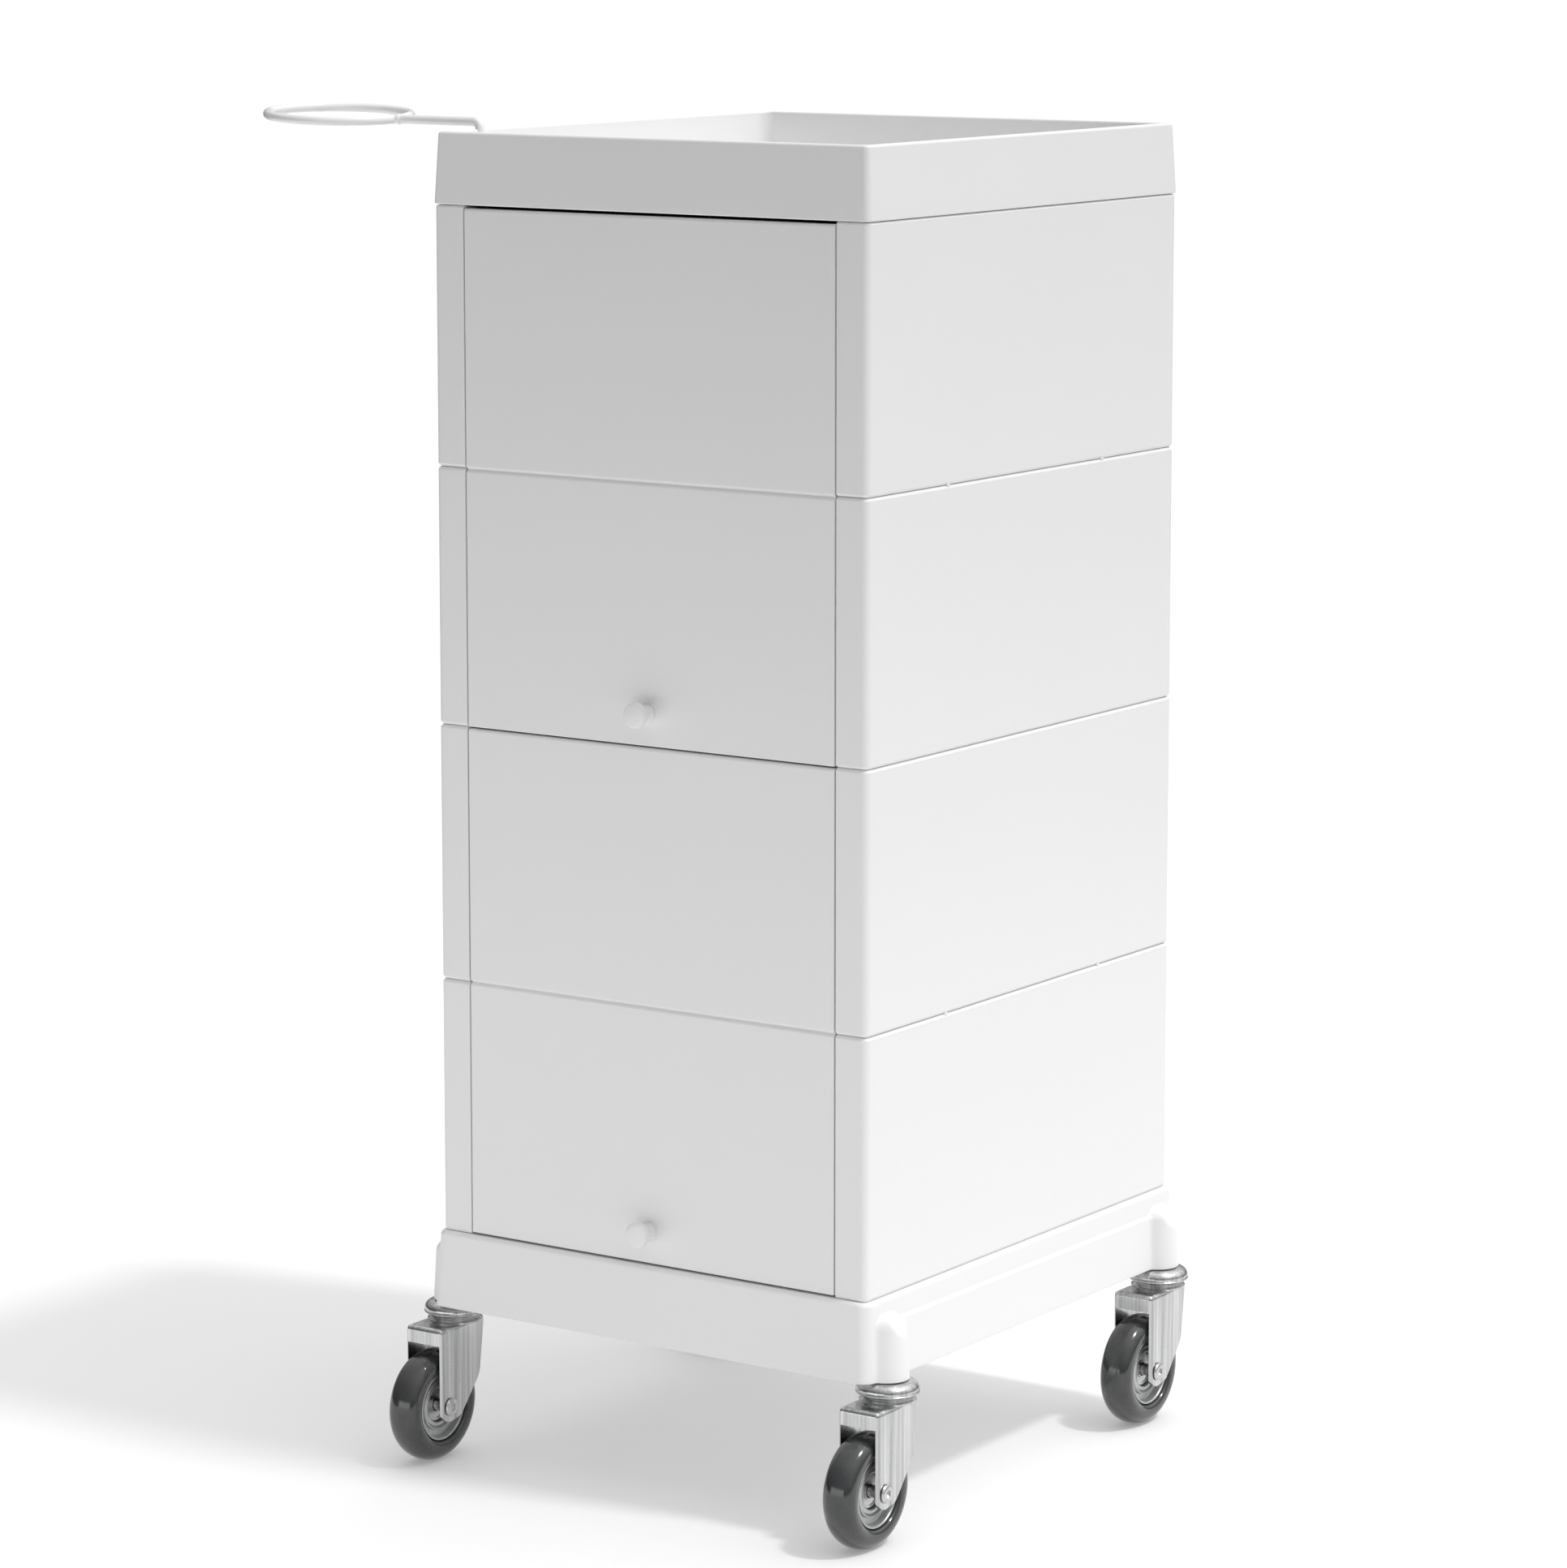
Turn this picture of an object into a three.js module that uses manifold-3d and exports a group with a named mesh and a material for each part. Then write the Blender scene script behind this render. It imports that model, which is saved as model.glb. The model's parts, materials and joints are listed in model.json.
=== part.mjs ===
// Rolling salon trolley: a stacked-shell cabinet with two flap doors, an open top tray,
// a swing-out hair-dryer ring and four swivel casters.
//
// Millimetres, +Z up. X runs left to right across the door side and the doors face -Y.
// Everything is placed about the middle of the cabinet's footprint, and the last lines move
// the whole trolley so that its origin is the bottom centre of its bounding box.

import * as THREE from 'three';
import { mergeVertices } from 'three/addons/utils/BufferGeometryUtils.js';
import Module from 'manifold-3d';

const wasm = await Module();
wasm.setup();

// ---------------------------------------------------------------- driving dimensions

const GAP = 0.3;                     // clearance between pieces that touch or run together
const ROUND_SIDES = 12;              // sides of shafts and bores that turn in each other

// cabinet body
const WIDTH = 332;                   // across the front face
const DEPTH = 370;                   // front face to back face
const CORNER = 4.5;                  // radius of the upright corners
const WALL = 3;                      // thickness of the mouldings
const BODY_BOTTOM = 154;             // height of the joint between plinth and lowest shell
const SHELL_HEIGHT = 167.5;          // pitch of the four stacked shells
const SHELL_COUNT = 4;
const GROOVE_HEIGHT = 4;             // V-groove where two shells meet
const GROOVE_DEPTH = 1.8;
const BODY_TOP = BODY_BOTTOM + SHELL_COUNT * SHELL_HEIGHT;

// doors
const STILE = 23.5;                  // upright strip on each side of the doors
const JAMB_DEPTH = 14;               // return beside the doors, front face to its back edge
const DOOR_SIDE_GAP = 1;
const DOOR_THICKNESS = 8;            // over the returned edges
const DOOR_SKIN = 3.5;
const DOOR_RETURN = 3;
const HINGE_SETBACK = 4;             // hinge axis behind the face and below the top edge
const DOOR_TOP_BAR = 2 * HINGE_SETBACK;
const TOP_FRONT_RADIUS = 2;
const TOP_BACK_RADIUS = 3;
const PIN_RADIUS = 1.5;
const PIN_IN_DOOR = 9;               // length of hinge pin inside the door
const PIN_IN_JAMB = WALL + 2;        // and inside the jamb
const UPPER_DOOR = { bottom: 489.3, top: 822.2 };
const LOWER_DOOR = { bottom: 155.2, top: 488 };

// knobs
const KNOB_ABOVE_EDGE = 21;
const KNOB_RADIUS = 8.25;
const KNOB_LENGTH = 16;
const NECK_RADIUS = 4.6;
const KNOB_SCREW_RADIUS = 1.75;

// middle shelf
const SHELF_TOP = 487.5;
const SHELF_THICKNESS = 4;
const SHELF_LIP = 12;

// top tray
const TRAY_HEIGHT = 46.5;
const TRAY_OVERHANG = 0.7;           // bottom edge stands out past the cabinet
const TRAY_TOP_INSET = 1.6;          // top edge lies inside the cabinet's faces
const TRAY_WALL = 5;
const TRAY_FLOOR = 4;
const TRAY_INNER_CORNER = 9;
const RIM_ROUND = 2;
const RIM_TOP = BODY_TOP + TRAY_HEIGHT;

// dryer holder
const ROD_RADIUS = 3;
const RING_RADIUS = 46.5;            // to the middle of the rod
const RING_REACH = 116;              // swivel pin to ring centre
const ARM_HEIGHT = 4.5;              // middle of the arm above the rim
const ELBOW = 4.5;                   // bend radius of the rod
const RING_ROLL = THREE.MathUtils.degToRad(2.1);   // front of the ring sits lower
const RING_RISE = THREE.MathUtils.degToRad(2.6);   // outer end of the ring sits higher
const SOCKET_RADIUS = 6.5;
const SOCKET_FROM_SIDE = 6;
const SOCKET_FROM_FRONT = 42;
const SOCKET_DEPTH = 34;

// plinth
const PLINTH_BOTTOM = 103;
const PLINTH_TOP_OVERHANG = 3;
const PLINTH_BOTTOM_OVERHANG = 5.5;
const PLINTH_CORNER = 8;
const PLINTH_ROUND = 3;
const LEDGE_HEIGHT = 138;            // step along the two sides
const LEDGE_STEP = 1.8;
const BOSS_RADIUS_BOTTOM = 14;
const BOSS_RADIUS_TOP = 12.5;
const BOSS_SHOULDER = 137;
const BOSS_TOP = 146;
const STEM_BORE_TOP = 141;

// casters
const CASTER_X = WIDTH / 2 + 4.5;    // swivel axis from the middle of the cabinet
const CASTER_Y = DEPTH / 2 - 18;
const WHEEL_RADIUS = 37;
const TRAIL = 25;                    // axle in front of the swivel axis
const TYRE_HALF_WIDTH = 11.5;
const HUB_RADIUS = 23;
const BEARING_RADIUS = 11;
const BEARING_HALF_WIDTH = 3.5;
const AXLE_RADIUS = 4;
const AXLE_HEAD_RADIUS = 6;
const AXLE_HEAD_HEIGHT = 2;
const FORK_HALF_WIDTH = 15;
const FORK_SHEET = 2;
const FORK_TOP = 90;
const FORK_FRONT = -34;
const FORK_REAR = 15;
const FORK_LIP_BOTTOM = 79;
const FORK_EAR_RADIUS = 10;
const RACE_RADIUS = 17.5;
const RACE_TOP = 94;
const CAP_RADIUS = 20.25;
const CAP_TOP = 102.6;
const STEM_RADIUS = 5.5;
const RIVET_RADIUS = 8;
const RIVET_BOTTOM = 83;

// ---------------------------------------------------------------- finishes

function finish(color, roughness, metalness) {
  return new THREE.MeshStandardMaterial({ color, roughness, metalness });
}

const white = () => finish(0xf1f1ef, 0.32, 0);
const coated = () => finish(0xf4f4f2, 0.28, 0);
const zinc = () => finish(0xc9cbcc, 0.3, 1);
const steel = () => finish(0xb4b6b8, 0.35, 1);
const tyreGrey = () => finish(0x47484a, 0.2, 0);
const hubGrey = () => finish(0x9a9c9e, 0.35, 0.2);

// ---------------------------------------------------------------- shape helpers

// Rounded rectangle centred on the origin, in the XY plane.
function roundedRect(width, depth, radius) {
  const x = width / 2;
  const y = depth / 2;
  const shape = new THREE.Shape();
  shape.moveTo(-x + radius, -y);
  shape.absarc(x - radius, -y + radius, radius, -Math.PI / 2, 0);
  shape.absarc(x - radius, y - radius, radius, 0, Math.PI / 2);
  shape.absarc(-x + radius, y - radius, radius, Math.PI / 2, Math.PI);
  shape.absarc(-x + radius, -y + radius, radius, Math.PI, 1.5 * Math.PI);
  return shape;
}

// Upright prism of a shape from z0 to z1, with its edges chamfered or rounded when asked.
function prism(shape, z0, z1, edge = { drop: 0, inset: 0, segments: 0 }) {
  const geometry = new THREE.ExtrudeGeometry(shape, {
    depth: z1 - z0 - 2 * edge.drop,
    curveSegments: 2,
    bevelEnabled: edge.drop > 0,
    bevelThickness: edge.drop,
    bevelSize: edge.inset,
    bevelOffset: -edge.inset,
    bevelSegments: edge.segments,
  });
  return geometry.translate(0, 0, z0 + edge.drop);
}

function box(x0, x1, y0, y1, z0, z1) {
  const geometry = new THREE.BoxGeometry(x1 - x0, y1 - y0, z1 - z0);
  return geometry.translate((x0 + x1) / 2, (y0 + y1) / 2, (z0 + z1) / 2);
}

// Solid or ring turned about Z from [radius, z] points.
function turned(points, segments) {
  const profile = points.map(([r, z]) => new THREE.Vector2(r, z));
  return new THREE.LatheGeometry(profile, segments).rotateX(Math.PI / 2);
}

function rod(radius, z0, z1, segments = 8) {
  return turned([[0, z0], [radius, z0], [radius, z1], [0, z1]], segments);
}

// The helpers above stand along Z; these lay a shape along X or out towards the front.
const alongX = (geometry) => geometry.rotateY(Math.PI / 2);
const towardsFront = (geometry) => geometry.rotateX(Math.PI / 2);

// Widens a shape steadily from its top (z1) to its bottom (z0) by `spread` on every side.
function flare(geometry, z0, z1, halfX, halfY, spread) {
  const position = geometry.getAttribute('position');
  for (let i = 0; i < position.count; i += 1) {
    const share = (z1 - position.getZ(i)) / (z1 - z0);
    position.setX(i, position.getX(i) * (1 + (share * spread) / halfX));
    position.setY(i, position.getY(i) * (1 + (share * spread) / halfY));
  }
  return geometry;
}

function toSolid(geometry) {
  const bare = geometry.clone();
  bare.deleteAttribute('normal');
  bare.deleteAttribute('uv');
  const merged = mergeVertices(bare, 1e-4);
  return new wasm.Manifold(new wasm.Mesh({
    numProp: 3,
    vertProperties: new Float32Array(merged.getAttribute('position').array),
    triVerts: new Uint32Array(merged.index.array),
  }));
}

function toGeometry(solid) {
  const mesh = solid.getMesh();
  const geometry = new THREE.BufferGeometry();
  geometry.setAttribute('position', new THREE.BufferAttribute(mesh.vertProperties, 3));
  geometry.setIndex(new THREE.BufferAttribute(mesh.triVerts, 1));
  geometry.computeVertexNormals();
  return geometry;
}

// One closed body from pieces to join and pieces to cut away.
function carve(joined, cutAway) {
  let solid = toSolid(joined[0]);
  for (const geometry of joined.slice(1)) {
    solid = solid.add(toSolid(geometry));
  }
  for (const geometry of cutAway) {
    solid = solid.subtract(toSolid(geometry));
  }
  return toGeometry(solid);
}

function addPiece(group, name, geometry, material) {
  const mesh = new THREE.Mesh(geometry, material);
  mesh.name = name;
  group.add(mesh);
  return mesh;
}

// ---------------------------------------------------------------- cabinet shells

const FRONT = -DEPTH / 2;
const OPENING_X = WIDTH / 2 - STILE;
const HINGE_Y = FRONT + HINGE_SETBACK;

// Bored through both jambs at the height of a door's hinge axis.
function hingeBore(hingeZ) {
  const reach = OPENING_X + PIN_IN_JAMB + 1;
  return alongX(rod(PIN_RADIUS + GAP, -reach, reach)).translate(0, HINGE_Y, hingeZ);
}

// One shell: left, back and right walls, and two front stiles with their jambs.
function cabinetShell(index, hingeZ) {
  const z0 = BODY_BOTTOM + index * SHELL_HEIGHT + GAP / 2;
  const z1 = z0 + SHELL_HEIGHT - GAP;
  const chamfer = { drop: GROOVE_HEIGHT / 2, inset: GROOVE_DEPTH, segments: 1 };
  const joined = [prism(roundedRect(WIDTH, DEPTH, CORNER), z0, z1, chamfer)];
  const hollow = roundedRect(WIDTH - 2 * WALL, DEPTH - 2 * WALL, CORNER - WALL);
  const cutAway = [
    prism(hollow, z0 - 1, z1 + 1),
    box(-OPENING_X, OPENING_X, FRONT - 1, FRONT + WALL + 1, z0 - 1, z1 + 1),
  ];
  let shell = toSolid(carve(joined, cutAway));
  for (const side of [-1, 1]) {
    const inner = side * OPENING_X;
    const outer = side * (OPENING_X + WALL);
    const jamb = box(Math.min(inner, outer), Math.max(inner, outer),
      FRONT + GROOVE_DEPTH, FRONT + JAMB_DEPTH, z0, z1);
    shell = shell.add(toSolid(jamb));
  }
  if (hingeZ) {
    shell = shell.subtract(toSolid(hingeBore(hingeZ)));
  }
  return toGeometry(shell);
}

// ---------------------------------------------------------------- plinth

function casterBoss(x, y) {
  const profile = [
    [0, PLINTH_BOTTOM],
    [BOSS_RADIUS_BOTTOM, PLINTH_BOTTOM],
    [BOSS_RADIUS_TOP, BOSS_SHOULDER],
    [0.7 * BOSS_RADIUS_TOP, BOSS_TOP - 3],
    [0, BOSS_TOP],
  ];
  return turned(profile, 16).translate(x, y, 0);
}

// Lower part of a side wall, standing out below the ledge, between the two bosses.
function sideLedge(side) {
  const wall = WIDTH / 2 + PLINTH_TOP_OVERHANG;
  const outline = new THREE.Shape();
  outline.moveTo(wall - 1, PLINTH_BOTTOM);
  outline.lineTo(wall + PLINTH_BOTTOM_OVERHANG - PLINTH_TOP_OVERHANG + LEDGE_STEP, PLINTH_BOTTOM);
  outline.lineTo(wall + LEDGE_STEP + 0.8, LEDGE_HEIGHT);
  outline.lineTo(wall - 1, LEDGE_HEIGHT);
  const strip = new THREE.ExtrudeGeometry(outline, { depth: 2 * CASTER_Y, bevelEnabled: false });
  strip.rotateX(Math.PI / 2);
  strip.translate(0, CASTER_Y, 0);
  return side > 0 ? strip : strip.rotateZ(Math.PI);
}

function plinth() {
  const top = BODY_BOTTOM - GAP / 2;
  const halfX = WIDTH / 2 + PLINTH_TOP_OVERHANG;
  const halfY = DEPTH / 2 + PLINTH_TOP_OVERHANG;
  const spread = PLINTH_BOTTOM_OVERHANG - PLINTH_TOP_OVERHANG;
  const round = { drop: PLINTH_ROUND, inset: PLINTH_ROUND, segments: 1 };
  const outside = prism(roundedRect(2 * halfX, 2 * halfY, PLINTH_CORNER),
    PLINTH_BOTTOM - PLINTH_ROUND, top, round);
  flare(outside, PLINTH_BOTTOM, top, halfX, halfY, spread);
  const inside = prism(roundedRect(2 * (halfX - WALL), 2 * (halfY - WALL), PLINTH_CORNER - WALL),
    PLINTH_BOTTOM - 1, top - WALL);
  flare(inside, PLINTH_BOTTOM, top, halfX, halfY, spread);
  const below = box(-WIDTH, WIDTH, -DEPTH, DEPTH, 0, PLINTH_BOTTOM);
  let solid = toSolid(outside).subtract(toSolid(inside)).subtract(toSolid(below));
  for (const side of [-1, 1]) {
    solid = solid.add(toSolid(sideLedge(side)));
    for (const end of [-1, 1]) {
      solid = solid.add(toSolid(casterBoss(side * CASTER_X, end * CASTER_Y)));
    }
  }
  for (const x of [-CASTER_X, CASTER_X]) {
    for (const y of [-CASTER_Y, CASTER_Y]) {
      const bore = rod(STEM_RADIUS + GAP, PLINTH_BOTTOM - 1, STEM_BORE_TOP, ROUND_SIDES);
      solid = solid.subtract(toSolid(bore.translate(x, y, 0)));
    }
  }
  return toGeometry(solid);
}

// ---------------------------------------------------------------- shelf and tray

function middleShelf() {
  const halfX = WIDTH / 2 - WALL - GAP;
  const front = FRONT + JAMB_DEPTH + 1;
  const back = DEPTH / 2 - WALL - GAP;
  const plate = prism(roundedRect(2 * halfX, back - front, CORNER), SHELF_TOP - SHELF_THICKNESS, SHELF_TOP);
  plate.translate(0, (front + back) / 2, 0);
  const lipX = halfX - CORNER;
  const lip = box(-lipX, lipX, front, front + WALL, SHELF_TOP - SHELF_LIP, SHELF_TOP);
  return carve([plate, lip], []);
}

const SOCKET_X = -WIDTH / 2 + SOCKET_FROM_SIDE;
const SOCKET_Y = FRONT + SOCKET_FROM_FRONT;

function topTray() {
  const bottom = BODY_TOP + GAP;
  const halfX = WIDTH / 2 - TRAY_TOP_INSET;
  const halfY = DEPTH / 2 - TRAY_TOP_INSET;
  const round = { drop: RIM_ROUND, inset: RIM_ROUND, segments: 2 };
  const outside = prism(roundedRect(2 * halfX, 2 * halfY, CORNER), bottom - RIM_ROUND, RIM_TOP, round);
  flare(outside, bottom, RIM_TOP, halfX, halfY, TRAY_OVERHANG + TRAY_TOP_INSET);
  const below = box(-WIDTH, WIDTH, -DEPTH, DEPTH, bottom - TRAY_HEIGHT, bottom);
  const cavity = prism(
    roundedRect(2 * (halfX - TRAY_WALL), 2 * (halfY - TRAY_WALL), TRAY_INNER_CORNER),
    bottom + TRAY_FLOOR, RIM_TOP + 1);
  const dish = carve([outside], [below, cavity]);
  const socket = rod(SOCKET_RADIUS, bottom + 1, RIM_TOP - 2, 20).translate(SOCKET_X, SOCKET_Y, 0);
  const hole = rod(ROD_RADIUS + GAP, RIM_TOP - SOCKET_DEPTH - 1, RIM_TOP + 1, ROUND_SIDES);
  return carve([dish, socket], [hole.translate(SOCKET_X, SOCKET_Y, 0)]);
}

// ---------------------------------------------------------------- doors

// Side outline of a door, front face towards -Y, with the groove across its middle.
function doorOutline(bottom, top) {
  const back = FRONT + DOOR_THICKNESS;
  const groove = (bottom + top) / 2;
  const outline = new THREE.Shape();
  outline.moveTo(back, bottom);
  outline.lineTo(back, top - TOP_BACK_RADIUS);
  outline.absarc(back - TOP_BACK_RADIUS, top - TOP_BACK_RADIUS, TOP_BACK_RADIUS, 0, Math.PI / 2);
  outline.absarc(FRONT + TOP_FRONT_RADIUS, top - TOP_FRONT_RADIUS, TOP_FRONT_RADIUS, Math.PI / 2, Math.PI);
  outline.lineTo(FRONT, groove + GROOVE_HEIGHT / 2);
  outline.lineTo(FRONT + GROOVE_DEPTH, groove);
  outline.lineTo(FRONT, groove - GROOVE_HEIGHT / 2);
  outline.lineTo(FRONT, bottom);
  return outline;
}

function doorPanel({ bottom, top }) {
  const halfX = OPENING_X - DOOR_SIDE_GAP;
  const outline = doorOutline(bottom, top);
  const slab = new THREE.ExtrudeGeometry(outline, {
    depth: 2 * halfX,
    bevelEnabled: false,
    curveSegments: 3,
  });
  // The outline is drawn in (Y, Z); turning it maps those on to the part's own axes.
  slab.rotateX(Math.PI / 2).rotateZ(Math.PI / 2).translate(-halfX, 0, 0);
  const pocketX = halfX - DOOR_RETURN;
  const pocket = box(-pocketX, pocketX, FRONT + DOOR_SKIN, FRONT + DOOR_THICKNESS + 1,
    bottom + DOOR_RETURN, top - DOOR_TOP_BAR);
  const screwHole = towardsFront(rod(KNOB_SCREW_RADIUS + GAP, -1, DOOR_SKIN + 1))
    .translate(0, FRONT + DOOR_SKIN, bottom + KNOB_ABOVE_EDGE);
  const cutAway = [pocket, screwHole];
  for (const side of [-1, 1]) {
    const bore = alongX(rod(PIN_RADIUS + GAP, -PIN_IN_DOOR - 1, PIN_IN_DOOR + 1));
    cutAway.push(bore.translate(side * halfX, HINGE_Y, top - HINGE_SETBACK));
  }
  return carve([slab], cutAway);
}

function knob() {
  const screwEnd = KNOB_LENGTH - 6;
  const profile = [
    [0, screwEnd],
    [KNOB_SCREW_RADIUS + GAP, screwEnd],
    [KNOB_SCREW_RADIUS + GAP, GAP],
    [NECK_RADIUS + 1, GAP],
    [NECK_RADIUS, 9],
    [KNOB_RADIUS, 11],
    [KNOB_RADIUS, 14.5],
    [KNOB_RADIUS - 1.5, KNOB_LENGTH - 0.4],
    [0, KNOB_LENGTH],
  ];
  return towardsFront(turned(profile, 16));
}

function knobScrew() {
  const inside = -DOOR_SKIN - GAP;
  const profile = [
    [0, inside - 2.2],
    [3.2, inside - 2.2],
    [3.6, inside],
    [KNOB_SCREW_RADIUS, inside],
    [KNOB_SCREW_RADIUS, KNOB_LENGTH - 6 - GAP],
    [0, KNOB_LENGTH - 6 - GAP],
  ];
  return towardsFront(turned(profile, 8));
}

function addDoor(group, name, door) {
  addPiece(group, `${name}_panel`, doorPanel(door), white());
  const knobPlace = new THREE.Group();
  knobPlace.position.set(0, FRONT, door.bottom + KNOB_ABOVE_EDGE);
  addPiece(knobPlace, `${name}_knob`, knob(), white());
  addPiece(knobPlace, `${name}_knob_screw`, knobScrew(), steel());
  group.add(knobPlace);
  const inner = OPENING_X - DOOR_SIDE_GAP - PIN_IN_DOOR;
  const outer = OPENING_X + PIN_IN_JAMB;
  for (const [side, label] of [[-1, 'left'], [1, 'right']]) {
    const middle = side * (inner + outer) / 2;
    const half = (outer - inner) / 2;
    const pin = alongX(rod(PIN_RADIUS, -half, half));
    pin.translate(middle, HINGE_Y, door.top - HINGE_SETBACK);
    addPiece(group, `${name}_hinge_pin_${label}`, pin, steel());
  }
}

// ---------------------------------------------------------------- dryer holder

// One bent rod: pin down into the tray's socket, elbow, arm, and a welded ring.
function dryerHolder() {
  const armZ = RIM_TOP + ARM_HEIGHT;
  const armEnd = -(RING_REACH - RING_RADIUS);
  const foot = new THREE.Vector3(0, 0, RIM_TOP - SOCKET_DEPTH);
  const elbowStart = new THREE.Vector3(0, 0, armZ - ELBOW);
  const elbowCorner = new THREE.Vector3(0, 0, armZ);
  const elbowEnd = new THREE.Vector3(-ELBOW, 0, armZ);
  const weld = new THREE.Vector3(armEnd, 0, armZ);
  const path = new THREE.CurvePath();
  path.add(new THREE.LineCurve3(foot, elbowStart));
  path.add(new THREE.QuadraticBezierCurve3(elbowStart, elbowCorner, elbowEnd));
  path.add(new THREE.LineCurve3(elbowEnd, weld));
  const section = new THREE.Shape().absarc(0, 0, ROD_RADIUS, 0, 2 * Math.PI);
  const bentRod = new THREE.ExtrudeGeometry(section, { extrudePath: path, steps: 20, curveSegments: 4 });
  const ring = new THREE.TorusGeometry(RING_RADIUS, ROD_RADIUS, 8, 32);
  ring.translate(-RING_RADIUS, 0, 0).rotateX(RING_ROLL).rotateY(RING_RISE);
  ring.translate(weld.x, weld.y, weld.z);
  return carve([bentRod, ring], []);
}

// ---------------------------------------------------------------- casters

// Turned pieces of a wheel are drawn about Z and laid along X.
function wheelPiece(points, segments) {
  return alongX(turned(points, segments));
}

// Mirrors a profile across its middle plane and closes the loop.
function mirroredLoop(half) {
  const other = half.map(([r, z]) => [r, -z]).reverse();
  return [...half, ...other, half[0]];
}

function tyre() {
  return wheelPiece(mirroredLoop([
    [HUB_RADIUS + GAP, -TYRE_HALF_WIDTH + 2],
    [WHEEL_RADIUS - 7, -TYRE_HALF_WIDTH],
    [WHEEL_RADIUS - 2, -TYRE_HALF_WIDTH + 3.8],
    [WHEEL_RADIUS, -2.5],
  ]), 24);
}

function hub() {
  return wheelPiece(mirroredLoop([
    [BEARING_RADIUS + GAP, -7],
    [20.5, -4.5],
    [21.5, -TYRE_HALF_WIDTH + 1.5],
    [HUB_RADIUS, -TYRE_HALF_WIDTH + 1.5],
  ]), 18);
}

function bearing() {
  return wheelPiece(mirroredLoop([
    [AXLE_RADIUS + GAP + 0.1, -BEARING_HALF_WIDTH],
    [BEARING_RADIUS, -BEARING_HALF_WIDTH],
  ]), ROUND_SIDES);
}

// Shank along X with its domed head on the +X side, with a hexagonal driving socket.
function axleBolt() {
  const seat = FORK_HALF_WIDTH + GAP;
  const bolt = turned([
    [0, -FORK_HALF_WIDTH - 6.5],
    [AXLE_RADIUS, -FORK_HALF_WIDTH - 6.5],
    [AXLE_RADIUS, seat],
    [AXLE_HEAD_RADIUS, seat],
    [AXLE_HEAD_RADIUS, seat + 0.5 * AXLE_HEAD_HEIGHT],
    [AXLE_HEAD_RADIUS - 1.2, seat + AXLE_HEAD_HEIGHT],
    [0, seat + AXLE_HEAD_HEIGHT],
  ], ROUND_SIDES);
  const socket = rod(2.4, seat + 0.4 * AXLE_HEAD_HEIGHT, seat + AXLE_HEAD_HEIGHT + 1, 6);
  return alongX(carve([bolt], [socket]));
}

function axleNut() {
  const seat = -FORK_HALF_WIDTH - GAP;
  const hexagon = rod(7, seat - 5, seat, 6);
  return alongX(carve([hexagon], [rod(AXLE_RADIUS + GAP, seat - 6, seat + 1)]));
}

// Outline of one fork cheek in (Y, Z): upright front edge, round ear at the axle, a diagonal
// up from the ear, then a nearly upright rear edge.
function cheekOutline() {
  const ear = FORK_EAR_RADIUS;
  const outline = new THREE.Shape();
  outline.moveTo(FORK_FRONT, FORK_TOP);
  outline.lineTo(-TRAIL - ear, WHEEL_RADIUS);
  outline.absarc(-TRAIL, WHEEL_RADIUS, ear, Math.PI, 1.65 * Math.PI);
  outline.lineTo(-TRAIL + 1.25 * ear, WHEEL_RADIUS - 0.65 * ear);
  outline.lineTo(FORK_REAR - 7.5, WHEEL_RADIUS + 1.3 * ear);
  outline.lineTo(FORK_REAR - 5.5, WHEEL_RADIUS + 1.8 * ear);
  outline.lineTo(FORK_REAR, FORK_TOP);
  return outline;
}

function fork() {
  const cheek = new THREE.ExtrudeGeometry(cheekOutline(), {
    depth: FORK_SHEET,
    bevelEnabled: false,
    curveSegments: 4,
  });
  cheek.rotateX(Math.PI / 2).rotateZ(Math.PI / 2);
  const x = FORK_HALF_WIDTH;
  const underside = FORK_TOP - FORK_SHEET;
  const top = box(-x, x, FORK_FRONT, FORK_REAR, underside, FORK_TOP);
  const lip = box(-x, x, FORK_FRONT, FORK_FRONT + FORK_SHEET, FORK_LIP_BOTTOM, FORK_TOP);
  const race = rod(RACE_RADIUS, underside, RACE_TOP, 16);
  const joined = [
    top,
    lip,
    race,
    cheek.clone().translate(-FORK_HALF_WIDTH, 0, 0),
    cheek.clone().translate(FORK_HALF_WIDTH - FORK_SHEET, 0, 0),
  ];
  const axleHole = alongX(rod(AXLE_RADIUS + GAP, -FORK_HALF_WIDTH - 1, FORK_HALF_WIDTH + 1, ROUND_SIDES));
  const cutAway = [
    rod(STEM_RADIUS + GAP, FORK_TOP - 5, RACE_TOP + 1, ROUND_SIDES),
    axleHole.translate(0, -TRAIL, WHEEL_RADIUS),
  ];
  return carve(joined, cutAway);
}

// Kingpin: stem up into the plinth's boss, down through the fork to a rivet head.
function stem() {
  const rivetTop = FORK_TOP - FORK_SHEET - GAP;
  return turned([
    [0, RIVET_BOTTOM],
    [RIVET_RADIUS, RIVET_BOTTOM],
    [RIVET_RADIUS, rivetTop],
    [STEM_RADIUS, rivetTop],
    [STEM_RADIUS, STEM_BORE_TOP - GAP],
    [0, STEM_BORE_TOP - GAP],
  ], ROUND_SIDES);
}

// Domed dust cap over the ball race, fixed to the stem.
function swivelCap() {
  const bore = STEM_RADIUS + GAP + 0.1;
  const underside = RACE_TOP + GAP;
  return turned([
    [bore, underside],
    [CAP_RADIUS, underside],
    [CAP_RADIUS, underside + 1.5],
    [CAP_RADIUS - 1.5, underside + 4.5],
    [CAP_RADIUS - 7, CAP_TOP],
    [bore, CAP_TOP],
    [bore, underside],
  ], 16);
}

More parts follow.
